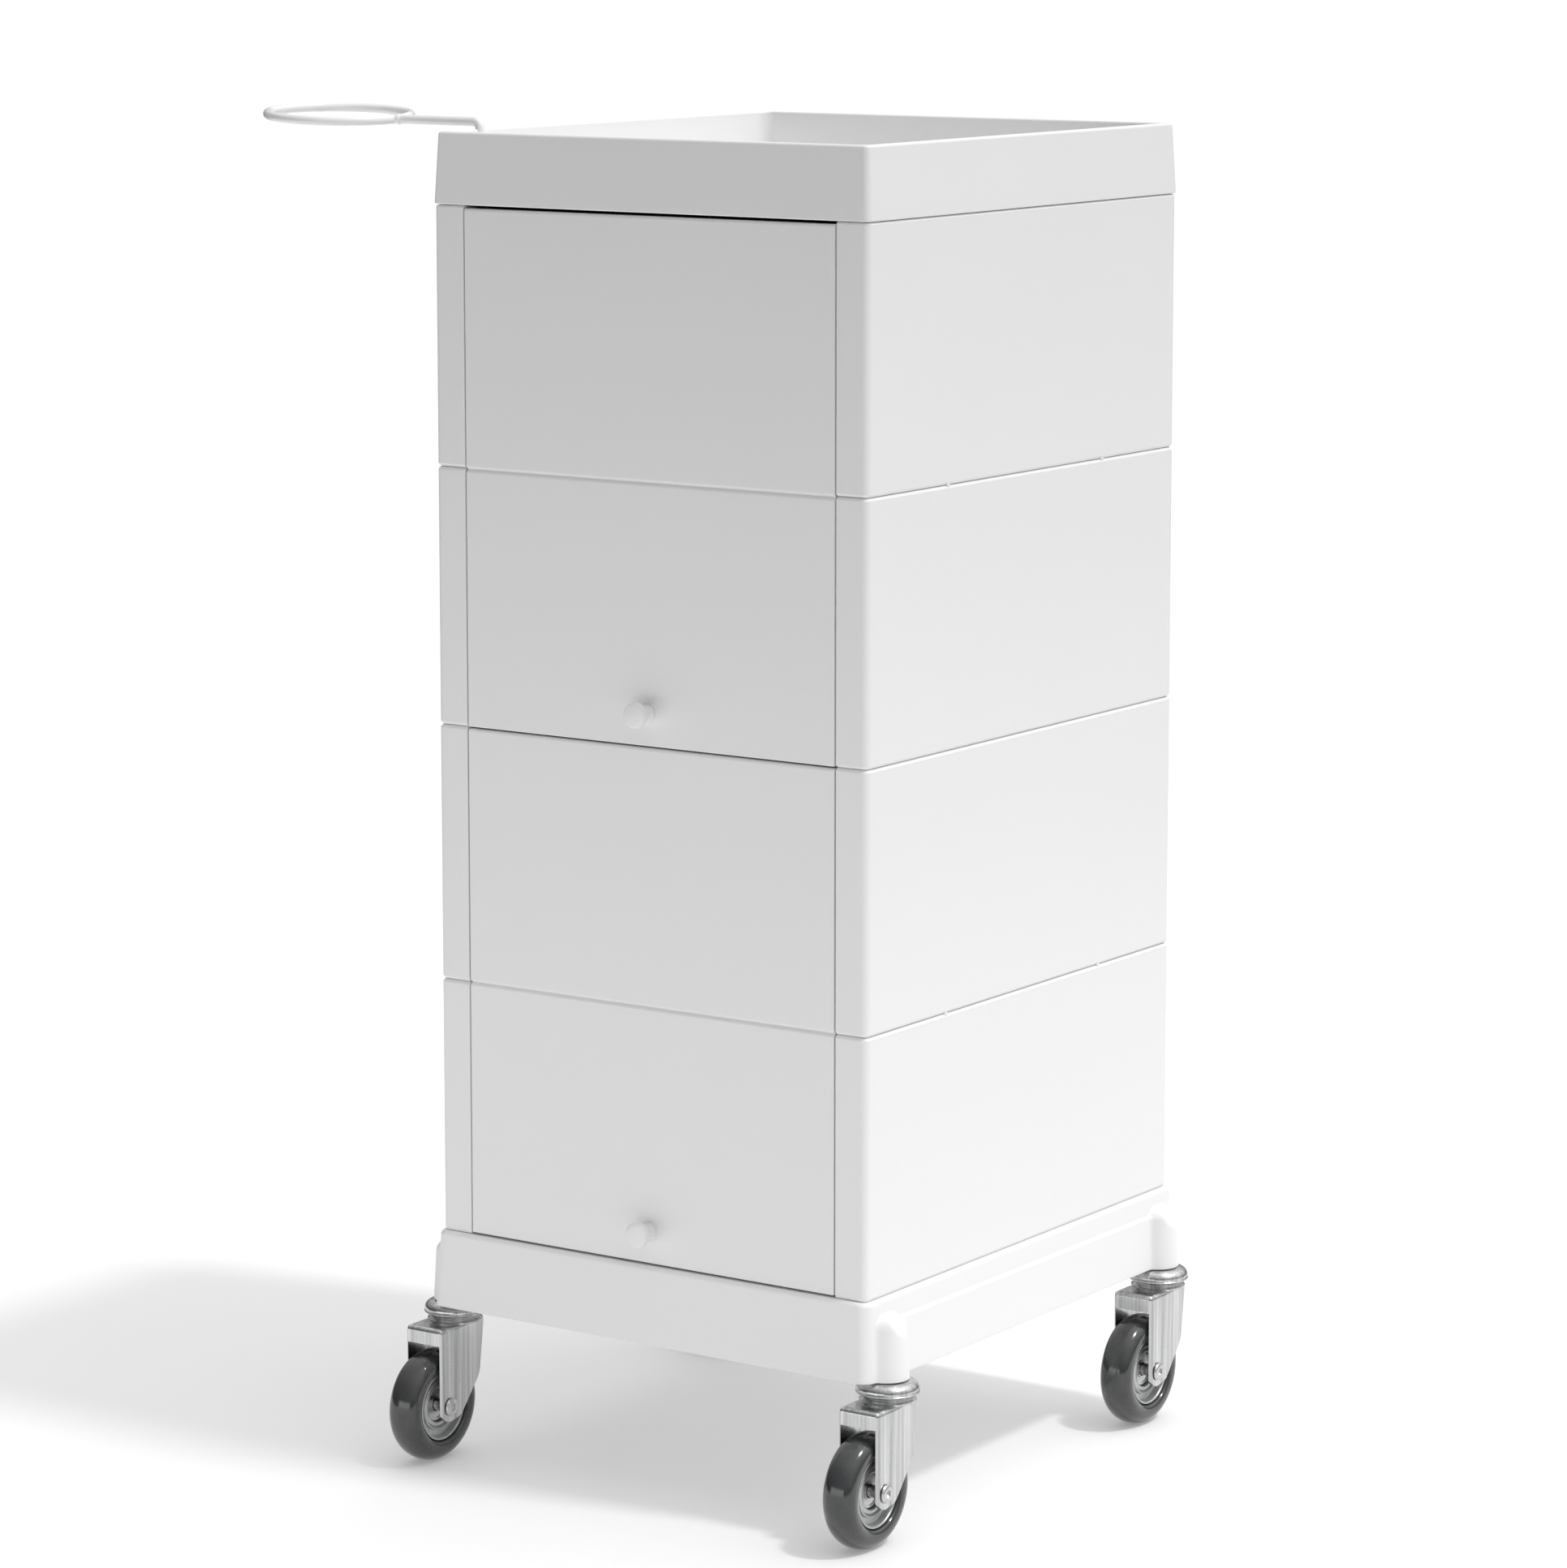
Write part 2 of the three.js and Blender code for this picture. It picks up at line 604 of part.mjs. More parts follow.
function addCaster(group, label, x, y) {
  const caster = new THREE.Group();
  caster.position.set(x, y, 0);
  addPiece(caster, `caster_stem_${label}`, stem(), steel());
  addPiece(caster, `caster_cap_${label}`, swivelCap(), zinc());
  addPiece(caster, `caster_fork_${label}`, fork(), zinc());
  const wheel = new THREE.Group();
  wheel.position.set(0, -TRAIL, WHEEL_RADIUS);
  addPiece(wheel, `caster_axle_${label}`, axleBolt(), steel());
  addPiece(wheel, `caster_axle_nut_${label}`, axleNut(), steel());
  addPiece(wheel, `wheel_bearing_${label}`, bearing(), steel());
  addPiece(wheel, `wheel_hub_${label}`, hub(), hubGrey());
  addPiece(wheel, `wheel_tyre_${label}`, tyre(), tyreGrey());
  caster.add(wheel);
  group.add(caster);
}

// ---------------------------------------------------------------- assembly

const trolley = new THREE.Group();

addPiece(trolley, 'base_plinth', plinth(), white());
const shellNames = ['bottom', 'lower', 'upper', 'top'];
shellNames.forEach((label, index) => {
  const z0 = BODY_BOTTOM + index * SHELL_HEIGHT;
  const hinge = [LOWER_DOOR, UPPER_DOOR].map((door) => door.top - HINGE_SETBACK)
    .find((z) => z > z0 && z < z0 + SHELL_HEIGHT);
  addPiece(trolley, `cabinet_shell_${label}`, cabinetShell(index, hinge), white());
});
addPiece(trolley, 'middle_shelf', middleShelf(), white());
addPiece(trolley, 'top_tray', topTray(), white());
addDoor(trolley, 'upper_door', UPPER_DOOR);
addDoor(trolley, 'lower_door', LOWER_DOOR);
addPiece(trolley, 'dryer_holder', dryerHolder(), coated()).position.set(SOCKET_X, SOCKET_Y, 0);
for (const [x, side] of [[-CASTER_X, 'left'], [CASTER_X, 'right']]) {
  for (const [y, end] of [[-CASTER_Y, 'front'], [CASTER_Y, 'rear']]) {
    addCaster(trolley, `${end}_${side}`, x, y);
  }
}

// The origin is the bottom centre of the bounding box.
const bounds = new THREE.Box3().setFromObject(trolley);
const middle = bounds.getCenter(new THREE.Vector3());
trolley.position.set(-middle.x, -middle.y, -bounds.min.z);

export default trolley;
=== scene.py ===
# Rolling salon trolley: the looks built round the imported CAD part, with its studio and camera.
import json
import math

import bmesh
import bpy
from mathutils import Matrix, Vector


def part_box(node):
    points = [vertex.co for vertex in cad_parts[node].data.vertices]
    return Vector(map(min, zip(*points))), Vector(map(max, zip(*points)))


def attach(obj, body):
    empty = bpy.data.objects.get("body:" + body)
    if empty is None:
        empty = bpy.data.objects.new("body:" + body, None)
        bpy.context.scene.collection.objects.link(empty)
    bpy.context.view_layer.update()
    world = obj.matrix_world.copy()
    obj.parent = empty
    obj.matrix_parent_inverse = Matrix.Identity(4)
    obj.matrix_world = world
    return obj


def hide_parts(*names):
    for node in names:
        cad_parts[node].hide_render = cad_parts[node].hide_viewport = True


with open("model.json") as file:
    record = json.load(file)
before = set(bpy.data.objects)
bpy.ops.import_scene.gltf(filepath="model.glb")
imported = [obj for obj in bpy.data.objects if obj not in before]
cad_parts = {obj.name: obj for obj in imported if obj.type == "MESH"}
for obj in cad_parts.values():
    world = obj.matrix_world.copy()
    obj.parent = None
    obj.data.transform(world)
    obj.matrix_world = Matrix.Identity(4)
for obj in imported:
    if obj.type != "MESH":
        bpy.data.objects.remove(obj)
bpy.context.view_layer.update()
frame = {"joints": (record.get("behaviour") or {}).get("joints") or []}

MM = 0.001
SCENE = bpy.context.scene

# ---------------------------------------------------------------- shape sizes, millimetres

ROUND_STEPS = 8                # steps along a quarter turn of a round
SMALL_STEPS = 4                # and of a very small one
# (distance from the joint, depth) down one side of the V-groove between two shells
GROOVE_STEPS = [(0.15, 1.75), (0.45, 1.4), (0.8, 1.0), (1.15, 0.62), (1.5, 0.32), (1.85, 0.1), (2.2, 0.0)]
GROOVE_FLOOR = 1.78            # depth at a groove's middle, where it isn't open
HALF_GAP = 0.15                # half the gap between two shells
PIP_FROM_FACE = 92.0           # small bumps in the side grooves, in from the front and back
CORNER = 4.5                   # radius of the cabinet's upright corners
WALL = 3.0
STILE = 23.5                   # upright strip beside the doors
STILE_EDGE = 0.8
JAMB_DEPTH = 14.0
DOOR_THICKNESS = 8.0
DOOR_EDGE = 0.8                # round of a door's bottom edges
DOOR_TOP_FRONT = 2.0           # and of its top edges
DOOR_TOP_BACK = 3.0
DOOR_END_ROUND = 0.7
DOOR_SKIN = 3.5
DOOR_RETURN = 3.0
DOOR_TOP_BAR = 8.0
KNOB_ABOVE_EDGE = 21.0
SCREW_BORE = 2.05              # radius


# ---------------------------------------------------------------- mesh parts: (points, faces) in millimetres

def merged(*parts):
    """Several parts as one."""
    points, faces = [], []
    for part_points, part_faces in parts:
        start = len(points)
        points += part_points
        faces += [tuple(start + i for i in face) for face in part_faces]
    return points, faces


def moved(part, x=0.0, y=0.0, z=0.0):
    return [(px + x, py + y, pz + z) for px, py, pz in part[0]], part[1]


def mapped(part, change):
    return [change(*point) for point in part[0]], part[1]


def along_x(part):
    """Lays a part that stands along Z along X."""
    return mapped(part, lambda x, y, z: (z, y, -x))


def towards_front(part):
    """Lays a part that stands along Z out towards -Y."""
    return mapped(part, lambda x, y, z: (x, -z, y))


def loft(rings, cap_start=True, cap_end=True, closed=False):
    """Skin over rings of points; closed joins the last ring to the first."""
    count = len(rings[0])
    points = [point for ring in rings for point in ring]
    faces = []
    spans = len(rings) if closed else len(rings) - 1
    for r in range(spans):
        a = r * count
        b = ((r + 1) % len(rings)) * count
        for i in range(count):
            j = (i + 1) % count
            faces.append((a + i, a + j, b + j, b + i))
    if cap_start and not closed:
        faces.append(tuple(reversed(range(count))))
    if cap_end and not closed:
        last = (len(rings) - 1) * count
        faces.append(tuple(range(last, last + count)))
    return points, faces


def lathe(profile, segments=64):
    """Turns (radius, height) points about Z. A profile whose ends are on the axis closes itself;
    any other is closed from its last point back to its first."""
    points, faces, rows = [], [], []
    for radius, height in profile:
        if radius < 1e-6:
            rows.append([len(points)])
            points.append((0.0, 0.0, height))
            continue
        row = []
        for s in range(segments):
            angle = 2 * math.pi * s / segments
            row.append(len(points))
            points.append((radius * math.cos(angle), radius * math.sin(angle), height))
        rows.append(row)
    on_axis = len(rows[0]) == 1 and len(rows[-1]) == 1
    pairs = list(zip(rows, rows[1:]))
    if not on_axis:
        pairs.append((rows[-1], rows[0]))
    for low, high in pairs:
        if len(low) == 1 and len(high) == 1:
            continue
        for s in range(segments):
            t = (s + 1) % segments
            if len(low) == 1:
                faces.append((low[0], high[t], high[s]))
            elif len(high) == 1:
                faces.append((low[s], low[t], high[0]))
            else:
                faces.append((low[s], low[t], high[t], high[s]))
    return points, faces


def sweep(path, radius, sides=24, closed=False):
    """Round tube along a path of points, with rounded ends when it is open."""
    spine = [Vector(point) for point in path]
    count = len(spine)
    tangents = []
    for i in range(count):
        before = spine[i - 1] if (i > 0 or closed) else spine[i]
        after = spine[(i + 1) % count] if (i < count - 1 or closed) else spine[i]
        tangents.append((after - before).normalized())
    side = tangents[0].orthogonal().normalized()
    rings = []
    for i, (point, tangent) in enumerate(zip(spine, tangents)):
        side = (side - tangent * side.dot(tangent)).normalized()
        up = tangent.cross(side)
        ring = []
        for s in range(sides):
            angle = 2 * math.pi * s / sides
            offset = side * math.cos(angle) + up * math.sin(angle)
            ring.append((point + offset * radius, tangent, point))
        rings.append(ring)
    skins = [[tuple(p) for p, _, _ in ring] for ring in rings]
    if not closed:
        skins = end_rounds(rings[0], radius, -1)[::-1] + skins + end_rounds(rings[-1], radius, 1)
    return loft(skins, closed=closed)


def end_rounds(ring, radius, direction):
    """Extra rings that round off a tube's end over a third of its radius."""
    depth = 0.33
    made = []
    for share in (0.35, 0.65, 0.85, 1.0):
        angle = share * math.pi / 2
        shrink = 1 - depth * (1 - math.cos(angle))
        reach = direction * depth * radius * math.sin(angle)
        made.append([tuple(centre + (p - centre) * shrink + tangent * reach) for p, tangent, centre in ring])
    return made


def rounded_loop(half_x, half_y, radius, z, steps=ROUND_STEPS, along=6):
    """Points round a rounded rectangle, anticlockwise from above, with points along its sides."""
    corners = [(1, -1, -90), (1, 1, 0), (-1, 1, 90), (-1, -1, 180)]
    arcs = []
    for sx, sy, start in corners:
        cx = sx * (half_x - radius)
        cy = sy * (half_y - radius)
        arc = []
        for s in range(steps + 1):
            angle = math.radians(start + 90 * s / steps)
            arc.append((cx + radius * math.cos(angle), cy + radius * math.sin(angle), z))
        arcs.append(arc)
    points = []
    for i, arc in enumerate(arcs):
        points += arc
        a = arc[-1]
        b = arcs[(i + 1) % 4][0]
        for s in range(1, along):
            t = s / along
            points.append((a[0] + (b[0] - a[0]) * t, a[1] + (b[1] - a[1]) * t, z))
    return points


def block(x0, x1, y0, y1, z0, z1):
    """Plain box, used only to cut other parts."""
    ring = [(x0, y0), (x1, y0), (x1, y1), (x0, y1)]
    return loft([[(x, y, z0) for x, y in ring], [(x, y, z1) for x, y in ring]])


# ---------------------------------------------------------------- objects

def raw_object(name, part, at=(0.0, 0.0, 0.0)):
    """An object with the part's mesh, faces turned outwards, at a point in metres."""
    mesh = bpy.data.meshes.new(name)
    mesh.from_pydata([Vector(p) * MM for p in part[0]], [], part[1])
    work = bmesh.new()
    work.from_mesh(mesh)
    bmesh.ops.remove_doubles(work, verts=work.verts, dist=1e-6)
    bmesh.ops.recalc_face_normals(work, faces=work.faces)
    work.to_mesh(mesh)
    work.free()
    obj = bpy.data.objects.new(name, mesh)
    obj.location = at
    SCENE.collection.objects.link(obj)
    return obj


def carved(obj, part, operation="DIFFERENCE"):
    """Cuts a part out of the object, joins it on, or keeps what the two share."""
    tool = raw_object(obj.name + "_tool", part, obj.location)
    change = obj.modifiers.new("carve", "BOOLEAN")
    change.operation = operation
    change.solver = "EXACT"
    change.object = tool
    bpy.context.view_layer.update()
    graph = bpy.context.evaluated_depsgraph_get()
    made = bpy.data.meshes.new_from_object(obj.evaluated_get(graph))
    obj.modifiers.clear()
    old = obj.data
    obj.data = made
    bpy.data.meshes.remove(old)
    bpy.data.objects.remove(tool)
    return obj


def shaded(obj, material, sharp=32.0):
    """Smooth shading that keeps edges sharper than the angle, and flat faces flat."""
    mesh = obj.data
    for polygon in mesh.polygons:
        polygon.use_smooth = True
    mesh.set_sharp_from_angle(angle=math.radians(sharp))
    mesh.materials.clear()
    mesh.materials.append(material)
    weigh = obj.modifiers.new("normals", "WEIGHTED_NORMAL")
    weigh.keep_sharp = True
    weigh.weight = 60
    return obj


def softened(obj, width, segments=3, angle=38.0):
    """Rounds the object's crisp edges."""
    bevel = obj.modifiers.new("edges", "BEVEL")
    bevel.width = width * MM
    bevel.segments = segments
    bevel.limit_method = "ANGLE"
    bevel.angle_limit = math.radians(angle)
    return obj


def shown(obj, body, slot, *nodes):
    """Lets a finished piece stand for its CAD nodes, moving with a body."""
    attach(obj, body)
    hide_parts(*nodes)
    return obj


def box_mm(node):
    low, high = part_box(node)
    return low / MM, high / MM


SHELLS = ["cabinet_shell_bottom", "cabinet_shell_lower", "cabinet_shell_upper", "cabinet_shell_top"]
SHELL_LOW, SHELL_HIGH = box_mm(SHELLS[0])
CENTRE_X = (SHELL_LOW.x + SHELL_HIGH.x) / 2
CENTRE_Y = (SHELL_LOW.y + SHELL_HIGH.y) / 2
CENTRE = Vector((CENTRE_X, CENTRE_Y, 0)) * MM
HALF_X = (SHELL_HIGH.x - SHELL_LOW.x) / 2
HALF_Y = (SHELL_HIGH.y - SHELL_LOW.y) / 2
FRONT = -HALF_Y


def heights(node):
    low, high = box_mm(node)
    return low.z, high.z


# ---------------------------------------------------------------- procedural materials

class Nodes:
    """Short names for building one node material."""

    def __init__(self, name):
        self.material = bpy.data.materials.new(name)
        self.material.use_nodes = True
        self.tree = self.material.node_tree
        self.shader = self.tree.nodes["Principled BSDF"]
        self.place = self.tree.nodes.new("ShaderNodeTexCoord").outputs["Object"]

    def add(self, kind, **values):
        node = self.tree.nodes.new(kind)
        for key, value in values.items():
            if hasattr(node, key):
                setattr(node, key, value)
            else:
                node.inputs[key.replace("_", " ")].default_value = value
        return node

    def link(self, a, b):
        self.tree.links.new(a, b)

    def stretched(self, x, y, z):
        scale = self.add("ShaderNodeMapping")
        scale.inputs["Scale"].default_value = (x, y, z)
        self.link(self.place, scale.inputs["Vector"])
        return scale.outputs["Vector"]

    def noise(self, scale, detail=3.0, roughness=0.5, place=None):
        node = self.add("ShaderNodeTexNoise", Scale=scale, Detail=detail, Roughness=roughness)
        self.link(place or self.place, node.inputs["Vector"])
        return node.outputs["Fac"]

    def ramp(self, value, stops):
        node = self.add("ShaderNodeValToRGB")
        elements = node.color_ramp.elements
        while len(elements) < len(stops):
            elements.new(0.5)
        for element, (where, shade) in zip(elements, stops):
            element.position = where
            colour = shade if isinstance(shade, tuple) else (shade,) * 3
            element.color = (*colour, 1)
        self.link(value, node.inputs["Fac"])
        return node.outputs["Color"]

    def spread(self, value, low, high, out_low, out_high):
        node = self.add("ShaderNodeMapRange")
        for key, number in zip(("From Min", "From Max", "To Min", "To Max"), (low, high, out_low, out_high)):
            node.inputs[key].default_value = number
        self.link(value, node.inputs["Value"])
        return node.outputs["Result"]

    def bump(self, height, strength, distance, after=None):
        node = self.add("ShaderNodeBump", Strength=strength, Distance=distance)
        self.link(height, node.inputs["Height"])
        if after:
            self.link(after, node.inputs["Normal"])
        self.link(node.outputs["Normal"], self.shader.inputs["Normal"])
        return node.outputs["Normal"]

    def set(self, **values):
        for key, value in values.items():
            self.shader.inputs[key.replace("_", " ")].default_value = value


def white_plastic():
    m = Nodes("white_plastic")
    cloud = m.noise(6.0, 2.0, 0.4)
    m.link(m.ramp(cloud, [(0.0, (0.852, 0.854, 0.852)), (1.0, (0.866, 0.868, 0.866))]),
           m.shader.inputs["Base Color"])
    m.link(m.spread(cloud, 0.0, 1.0, 0.36, 0.42), m.shader.inputs["Roughness"])
    m.bump(m.noise(260.0, 1.0, 0.4), 0.02, 0.0004)
    m.set(IOR=1.48)
    return m.material


def coated_rod():
    m = Nodes("coated_rod")
    cloud = m.noise(60.0, 3.0, 0.5)
    m.link(m.ramp(cloud, [(0.3, (0.86, 0.862, 0.86)), (0.7, (0.89, 0.89, 0.888))]),
           m.shader.inputs["Base Color"])
    m.link(m.spread(cloud, 0.3, 0.7, 0.18, 0.28), m.shader.inputs["Roughness"])
    m.bump(m.noise(700.0, 2.0, 0.5), 0.08, 0.0002)
    m.set(Coat_Weight=0.4, Coat_Roughness=0.12)
    return m.material


def zinc_steel():
    m = Nodes("zinc_steel")
    streak = m.noise(1.0, 5.0, 0.7, m.stretched(240.0, 240.0, 5.0))
    cloud = m.noise(60.0, 3.0, 0.5)
    spangle = m.noise(420.0, 3.0, 0.6)
    stops = [(0.3, (0.36, 0.363, 0.367)), (0.5, (0.55, 0.553, 0.555)), (0.7, (0.74, 0.74, 0.735))]
    m.link(m.ramp(streak, stops), m.shader.inputs["Base Color"])
    m.link(m.spread(cloud, 0.3, 0.7, 0.17, 0.30), m.shader.inputs["Roughness"])
    first = m.bump(streak, 0.10, 0.0003)
    m.bump(spangle, 0.04, 0.0003, first)
    m.set(Metallic=1.0)
    return m.material


def plain_steel():
    m = Nodes("plain_steel")
    turned_lines = m.noise(1.0, 3.0, 0.6, m.stretched(60.0, 60.0, 1800.0))
    cloud = m.noise(300.0, 4.0, 0.6)
    m.link(m.ramp(cloud, [(0.3, (0.45, 0.455, 0.46)), (0.7, (0.72, 0.72, 0.715))]),
           m.shader.inputs["Base Color"])
    m.link(m.spread(cloud, 0.3, 0.7, 0.22, 0.4), m.shader.inputs["Roughness"])
    m.bump(turned_lines, 0.1, 0.0002)
    m.set(Metallic=1.0)
    return m.material


def wheel_hub():
    m = Nodes("wheel_hub")
    cloud = m.noise(160.0, 4.0, 0.6)
    m.link(m.ramp(cloud, [(0.3, (0.46, 0.465, 0.47)), (0.7, (0.62, 0.625, 0.63))]),
           m.shader.inputs["Base Color"])
    m.link(m.spread(cloud, 0.3, 0.7, 0.28, 0.4), m.shader.inputs["Roughness"])
    m.bump(m.noise(900.0, 2.0, 0.5), 0.05, 0.0002)
    m.set(Metallic=0.55)
    return m.material


def wheel_tyre():
    m = Nodes("wheel_tyre")
    cloud = m.noise(70.0, 4.0, 0.6)
    scuff = m.noise(500.0, 5.0, 0.7)
    m.link(m.ramp(cloud, [(0.3, (0.026, 0.027, 0.029)), (0.7, (0.044, 0.045, 0.047))]),
           m.shader.inputs["Base Color"])
    m.link(m.spread(scuff, 0.35, 0.7, 0.12, 0.24), m.shader.inputs["Roughness"])
    m.bump(cloud, 0.03, 0.0006)
    m.set(Coat_Weight=0.6, Coat_Roughness=0.08, IOR=1.5)
    return m.material


PLASTIC = white_plastic()
COATED = coated_rod()
ZINC = zinc_steel()
STEEL = plain_steel()
HUB = wheel_hub()
TYRE = wheel_tyre()


# ---------------------------------------------------------------- cabinet shells

def shell_section():
    """(outer point, inward step, inner point) from the right jamb round the back to the left one."""
    edge = HALF_X - STILE
    edge_steps = ROUND_STEPS // 2
    half = [((edge, FRONT + JAMB_DEPTH), (0, 0), (edge + WALL, FRONT + JAMB_DEPTH))]
    half.append(((edge, FRONT + STILE_EDGE + 3), (0, 0), (edge + WALL, FRONT + STILE_EDGE + 4)))
    for s in range(edge_steps + 1):
        angle = math.radians(180 + 90 * s / edge_steps)
        c, n = math.cos(angle), math.sin(angle)
        outer = (edge + STILE_EDGE + STILE_EDGE * c, FRONT + STILE_EDGE + STILE_EDGE * n)
        inner = (edge + WALL + 0.5 + 0.5 * c, FRONT + WALL + 0.5 + 0.5 * n)
        half.append((outer, (0, 1), inner))
    for cy, start in ((FRONT + CORNER, 270), (-FRONT - CORNER, 0)):
        for s in range(ROUND_STEPS + 1):
            angle = math.radians(start + 90 * s / ROUND_STEPS)
            c, n = math.cos(angle), math.sin(angle)
            cx = HALF_X - CORNER
            outer = (cx + CORNER * c, cy + CORNER * n)
            inner = (cx + (CORNER - WALL) * c, cy + (CORNER - WALL) * n)
            half.append((outer, (-c, -n), inner))
        if start == 270:
            for share in (0.25, 0.5, 0.75):
                y = cy + share * (-2 * FRONT - 2 * CORNER)
                half.append(((HALF_X, y), (-1, 0), (HALF_X - WALL, y)))
    flip = [((-o[0], o[1]), (-d[0], d[1]), (-i[0], i[1])) for o, d, i in reversed(half)]
    return half + flip


def shell_part(z0, z1, bottom_steps, top_steps):
    """A shell open at the top, the bottom and the front; its steps are (distance, inset)."""
    section = shell_section()
    levels = [(z0 + rise, inset) for rise, inset in bottom_steps]
    levels += [(z1 - drop, inset) for drop, inset in reversed(top_steps)]
    rings = []
    for z, inset in levels:
        outer = [(o[0] + d[0] * inset, o[1] + d[1] * inset, z) for o, d, _ in section]
        inner = [(i[0], i[1], z) for _, _, i in reversed(section)]
        rings.append(outer + inner)
    points, faces = loft(rings, cap_start=False, cap_end=False)
    count = len(section)
    size = 2 * count
    last = (len(rings) - 1) * size
    for k in range(count - 1):
        faces.append((k + 1, k, size - 1 - k, size - 2 - k))
        faces.append((last + k, last + k + 1, last + size - 2 - k, last + size - 1 - k))
    return points, faces


def snap_pips(z):
    """Small moulded bumps in the grooves of the two sides."""
    pips = []
    for side in (-1, 1):
        for y in (FRONT + PIP_FROM_FACE, -FRONT - PIP_FROM_FACE):
            ball = lathe([
                (0, -1.5), (0.75, -1.3), (1.3, -0.75), (1.5, 0), (1.3, 0.75), (0.75, 1.3), (0, 1.5),
            ], 20)
            ball = mapped(ball, lambda px, py, pz: (px * 0.9, py * 1.15, pz * 1.1))
            pips.append(moved(ball, side * (HALF_X - 1.25), y, z))
    return pips


def build_shells():
    """Full grooves between shells, shallower ones at the plinth and under the tray."""
    groove = [(rise - HALF_GAP, inset) for rise, inset in GROOVE_STEPS]
    for i, node in enumerate(SHELLS):
        z0, z1 = heights(node)
        bottom = groove if i > 0 else [(rise, inset * 0.5) for rise, inset in groove]
        top = groove if i < len(SHELLS) - 1 else [(rise * 0.7, inset * 0.7) for rise, inset in groove]
        part = shell_part(z0, z1, bottom, top)
        if i in (0, 2):
            part = merged(part, *snap_pips(z1 + 0.1))
        obj = raw_object(node + "_look", part, CENTRE)
        shaded(obj, PLASTIC, 40)
        shown(obj, "cabinet", "white_plastic", node)


# ---------------------------------------------------------------- doors

def door_outline(z0, z1):
    """Side outline (y, z) of a door: front face, middle groove, rounded top, eased foot."""
    back = FRONT + DOOR_THICKNESS
    middle = (z0 + z1) / 2
    points = [(FRONT, z0 + DOOR_EDGE)]
    for drop, inset in reversed(GROOVE_STEPS):
        points.append((FRONT + inset, middle - drop))
    points.append((FRONT + GROOVE_FLOOR, middle))
    for rise, inset in GROOVE_STEPS:
        points.append((FRONT + inset, middle + rise))
    top_rounds = [
        (DOOR_TOP_FRONT, FRONT + DOOR_TOP_FRONT, 180),
        (DOOR_TOP_BACK, back - DOOR_TOP_BACK, 90),
    ]
    for radius, cy, start in top_rounds:
        for s in range(ROUND_STEPS + 1):
            angle = math.radians(start - 90 * s / ROUND_STEPS)
            points.append((cy + radius * math.cos(angle), z1 - radius + radius * math.sin(angle)))
    for cy, start in ((back - DOOR_EDGE, 0), (FRONT + DOOR_EDGE, -90)):
        for s in range(SMALL_STEPS + 1):
            angle = math.radians(start - 90 * s / SMALL_STEPS)
            points.append((cy + DOOR_EDGE * math.cos(angle), z0 + DOOR_EDGE + DOOR_EDGE * math.sin(angle)))
    return points[:-1]


def inset_outline(points, amount):
    """The outline drawn in by an amount, each point along its own normal."""
    made = []
    count = len(points)
    for i, (y, z) in enumerate(points):
        a = Vector(points[i - 1])
        b = Vector(points[(i + 1) % count])
        along = (b - a).normalized()
        made.append((y + along.y * amount, z - along.x * amount))
    return made


def door_part(half_x, z0, z1):
    outline = door_outline(z0, z1)
    levels = []
    for s in range(SMALL_STEPS, -1, -1):
        angle = math.radians(90 * s / SMALL_STEPS)
        x = -half_x + DOOR_END_ROUND * (1 - math.sin(angle))
        levels.append((x, DOOR_END_ROUND * (1 - math.cos(angle))))
    levels += [(-x, inset) for x, inset in reversed(levels)]
    rings = [[(x, y, z) for y, z in inset_outline(outline, inset)] for x, inset in levels]
    return loft(rings)


def door_pocket(half_x, z0, z1):
    """What is cut from a door's back, with drafted walls and a filleted floor."""
    low = z0 + DOOR_RETURN
    high = z1 - DOOR_TOP_BAR
    hx = half_x - DOOR_RETURN
    hz = (high - low) / 2
    rings = []
    for depth, inset in ((0.0, 1.6), (0.25, 0.9), (0.8, 0.35), (1.6, 0.1), (6.0, 0.0)):
        loop = rounded_loop(hx - inset, hz - inset, 4.0 - 0.5 * inset, FRONT + DOOR_SKIN + depth)
        rings.append([(x, y, z + (low + high) / 2) for x, z, y in loop])
    return loft(rings)


def knob_part():
    profile = [
        (0, 0.3), (5.9, 0.3), (5.75, 0.7), (5.2, 1.3), (4.8, 2.2), (4.6, 3.6), (4.55, 6.6), (4.7, 7.8),
        (5.2, 8.6), (6.2, 9.2), (7.3, 9.6), (7.95, 10.1), (8.2, 10.8), (8.25, 11.6), (8.25, 13.2),
        (8.15, 14.0), (7.8, 14.7), (7.1, 15.2), (6.0, 15.5), (4.2, 15.78), (2.1, 15.94), (0, 16.0),
    ]
    return towards_front(lathe(profile, 72))


def screw_part():
    """Domed head behind the door's skin and a shank that ends inside the knob."""
    profile = [
        (0, -6.0), (1.6, -5.95), (2.7, -5.7), (3.4, -5.2), (3.6, -4.6), (3.55, -3.8),
        (1.75, -3.8), (1.75, 9.4), (1.3, 9.9), (0, 10.0),
    ]
    return towards_front(lathe(profile, 40))


def hinge_pin_part(half):
    """Pin of a given half length along X, with chamfered ends."""
    profile = [(0, -half), (1.1, -half), (1.5, -half + 0.4), (1.5, half - 0.4), (1.1, half), (0, half)]
    return along_x(lathe(profile, 32))


